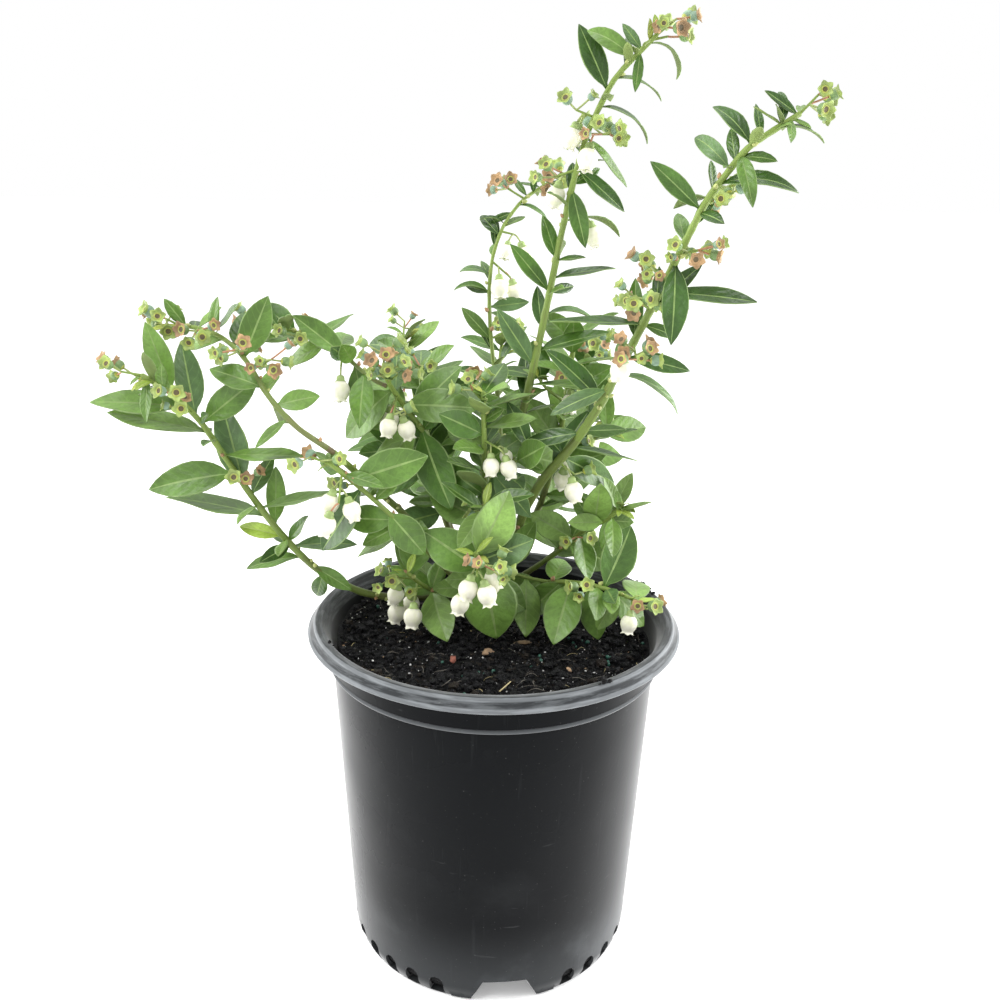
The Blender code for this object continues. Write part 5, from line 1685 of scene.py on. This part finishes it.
def make_specks():
    """White perlite, green feed prills, chips of bark and stone, root hairs and dry straws."""
    rng = random.Random(SPECK_SEED)
    tones = [
        plain_skin("perlite_white", (0.55, 0.55, 0.54), 0.8),
        plain_skin("prill_green", (0.018, 0.085, 0.060), 0.35),
        plain_skin("chip_tan", (0.26, 0.17, 0.10), 0.8, 0.3),
        plain_skin("chip_brown", (0.16, 0.11, 0.06), 0.8, 0.3),
        plain_skin("chip_red", (0.22, 0.07, 0.045), 0.8, 0.3),
        plain_skin("chip_straw", (0.50, 0.42, 0.22), 0.7, 0.2),
        plain_skin("root_hair", (0.17, 0.155, 0.13), 0.8, 0.3),
    ]
    grit, stone = lumps(1, 5, rng), lumps(2, 1, rng)[0]
    joined = Joined()
    for _ in range(WHITE_SPECKS):
        dropped(joined, rng.choice(grit), *spot(rng), 0.00013 + 0.0005 * rng.random() ** 4, rng, WHITE, -0.8)
    for _ in range(BROWN_SPECKS):
        dropped(joined, rng.choice(grit), *spot(rng), rng.uniform(0.0003, 0.0007), rng,
                rng.choice((TAN, UMBER, UMBER, STRAW)), -0.3)
    bm = bmesh.new()
    bmesh.ops.create_icosphere(bm, subdivisions=2, radius=1.0)
    ball = arrays_of(bm)
    for x, y in scattered(PRILLS, rng):
        if hypot(x, y) < MIX_EDGE - 0.002:
            dropped(joined, ball, x, y, rng.uniform(0.0006, 0.0010), rng, PRILL, -0.2)
    for x, y, size, tone in CHIPS:
        dropped(joined, stone, x, y, size, rng, tone, -0.6)
    for _ in range(ROOT_HAIRS):
        path = hair_path(rng)
        if len(path) > 2:
            tone = HAIR if rng.random() < 0.75 else STRAW
            joined.add(*tube(path, [rng.uniform(0.00005, 0.00012)] * len(path), 4, tone))
    start, end = (Vector(place) for place in STRAW_ENDS)
    joined.add(*tube([start, start.lerp(end, 0.5), end], [0.00035, 0.0003, 0.0002], 5, STRAW))
    piece(joined.mesh("mix_specks", tones))


# Stage: lights as (name, place, size, power), and the camera at the photo's angle
LIGHTS = (
    ("key", (-0.7, -0.7, 1.6), 0.7, 15.0),
    ("top", (0.1, 0.5, 1.7), 1.0, 8.0),
    ("left_box", (-1.2, 0.25, 0.40), 1.1, 18.0),
    ("right_box", (1.2, 0.25, 0.40), 1.1, 30.0),
)
LIT_PLACE = Vector((0, 0, 0.2))
FLOOR_HALF = 6.0
FLOOR_GLOW = 0.22
CAMERA_PLACE = (0.001764, -0.460236, 0.365484)
CAMERA_PITCH = radians(90 - 18.22)
CAMERA_ROLL = radians(1.0)
LENS, SENSOR = 39.6, 36.0
WHITE_LIGHT = (1.0, 1.0, 1.0, 1.0)


def in_scene(name, data):
    obj = bpy.data.objects.new(name, data)
    bpy.context.scene.collection.objects.link(obj)
    return obj


def make_room():
    """A plain pale floor that glows a little, and a white room round it."""
    floor = in_scene("floor", mesh_of("floor", lambda bm: bmesh.ops.create_grid(bm, size=FLOOR_HALF)))
    finish = Finish("pale_floor", (0.90, 0.90, 0.90), 0.9, Specular_IOR_Level=0.1,
                    Emission_Color=WHITE_LIGHT, Emission_Strength=FLOOR_GLOW)
    floor.data.materials.append(finish.material)
    world = bpy.data.worlds.new("white_room")
    world.use_nodes = True
    room = world.node_tree.nodes["Background"]
    room.inputs["Color"].default_value = WHITE_LIGHT
    room.inputs["Strength"].default_value = 1.0
    bpy.context.scene.world = world
    bpy.context.scene.view_settings.view_transform = "Standard"


def make_lights():
    """Soft square lamps that face the bush."""
    for name, place, size, power in LIGHTS:
        lamp = bpy.data.lights.new(name, "AREA")
        lamp.shape, lamp.size, lamp.energy = "SQUARE", size, power
        obj = in_scene(name, lamp)
        obj.location = place
        obj.rotation_euler = (LIT_PLACE - Vector(place)).to_track_quat("-Z", "Y").to_euler()


def make_camera():
    """The camera at the photo's angle."""
    camera = bpy.data.cameras.new("camera")
    camera.lens, camera.sensor_width = LENS, SENSOR
    camera.clip_start = 0.01
    view = in_scene("camera", camera)
    pitch, roll = Matrix.Rotation(CAMERA_PITCH, 4, "X"), Matrix.Rotation(CAMERA_ROLL, 4, "Z")
    view.matrix_world = Matrix.Translation(CAMERA_PLACE) @ pitch @ roll
    bpy.context.scene.camera = view


def main():
    make_room()
    make_lights()
    make_camera()
    bush = grow()
    add_flowers(bush)
    grow_finer(bush)
    young = tuft_leaves(bush)
    make_leaves(bush, young)
    make_canes(bush)
    make_stump_bark()
    make_flowers(bush)
    make_buds(bush)
    make_pot_shell()
    make_mix_bed()
    make_crumbs()
    make_specks()


main()
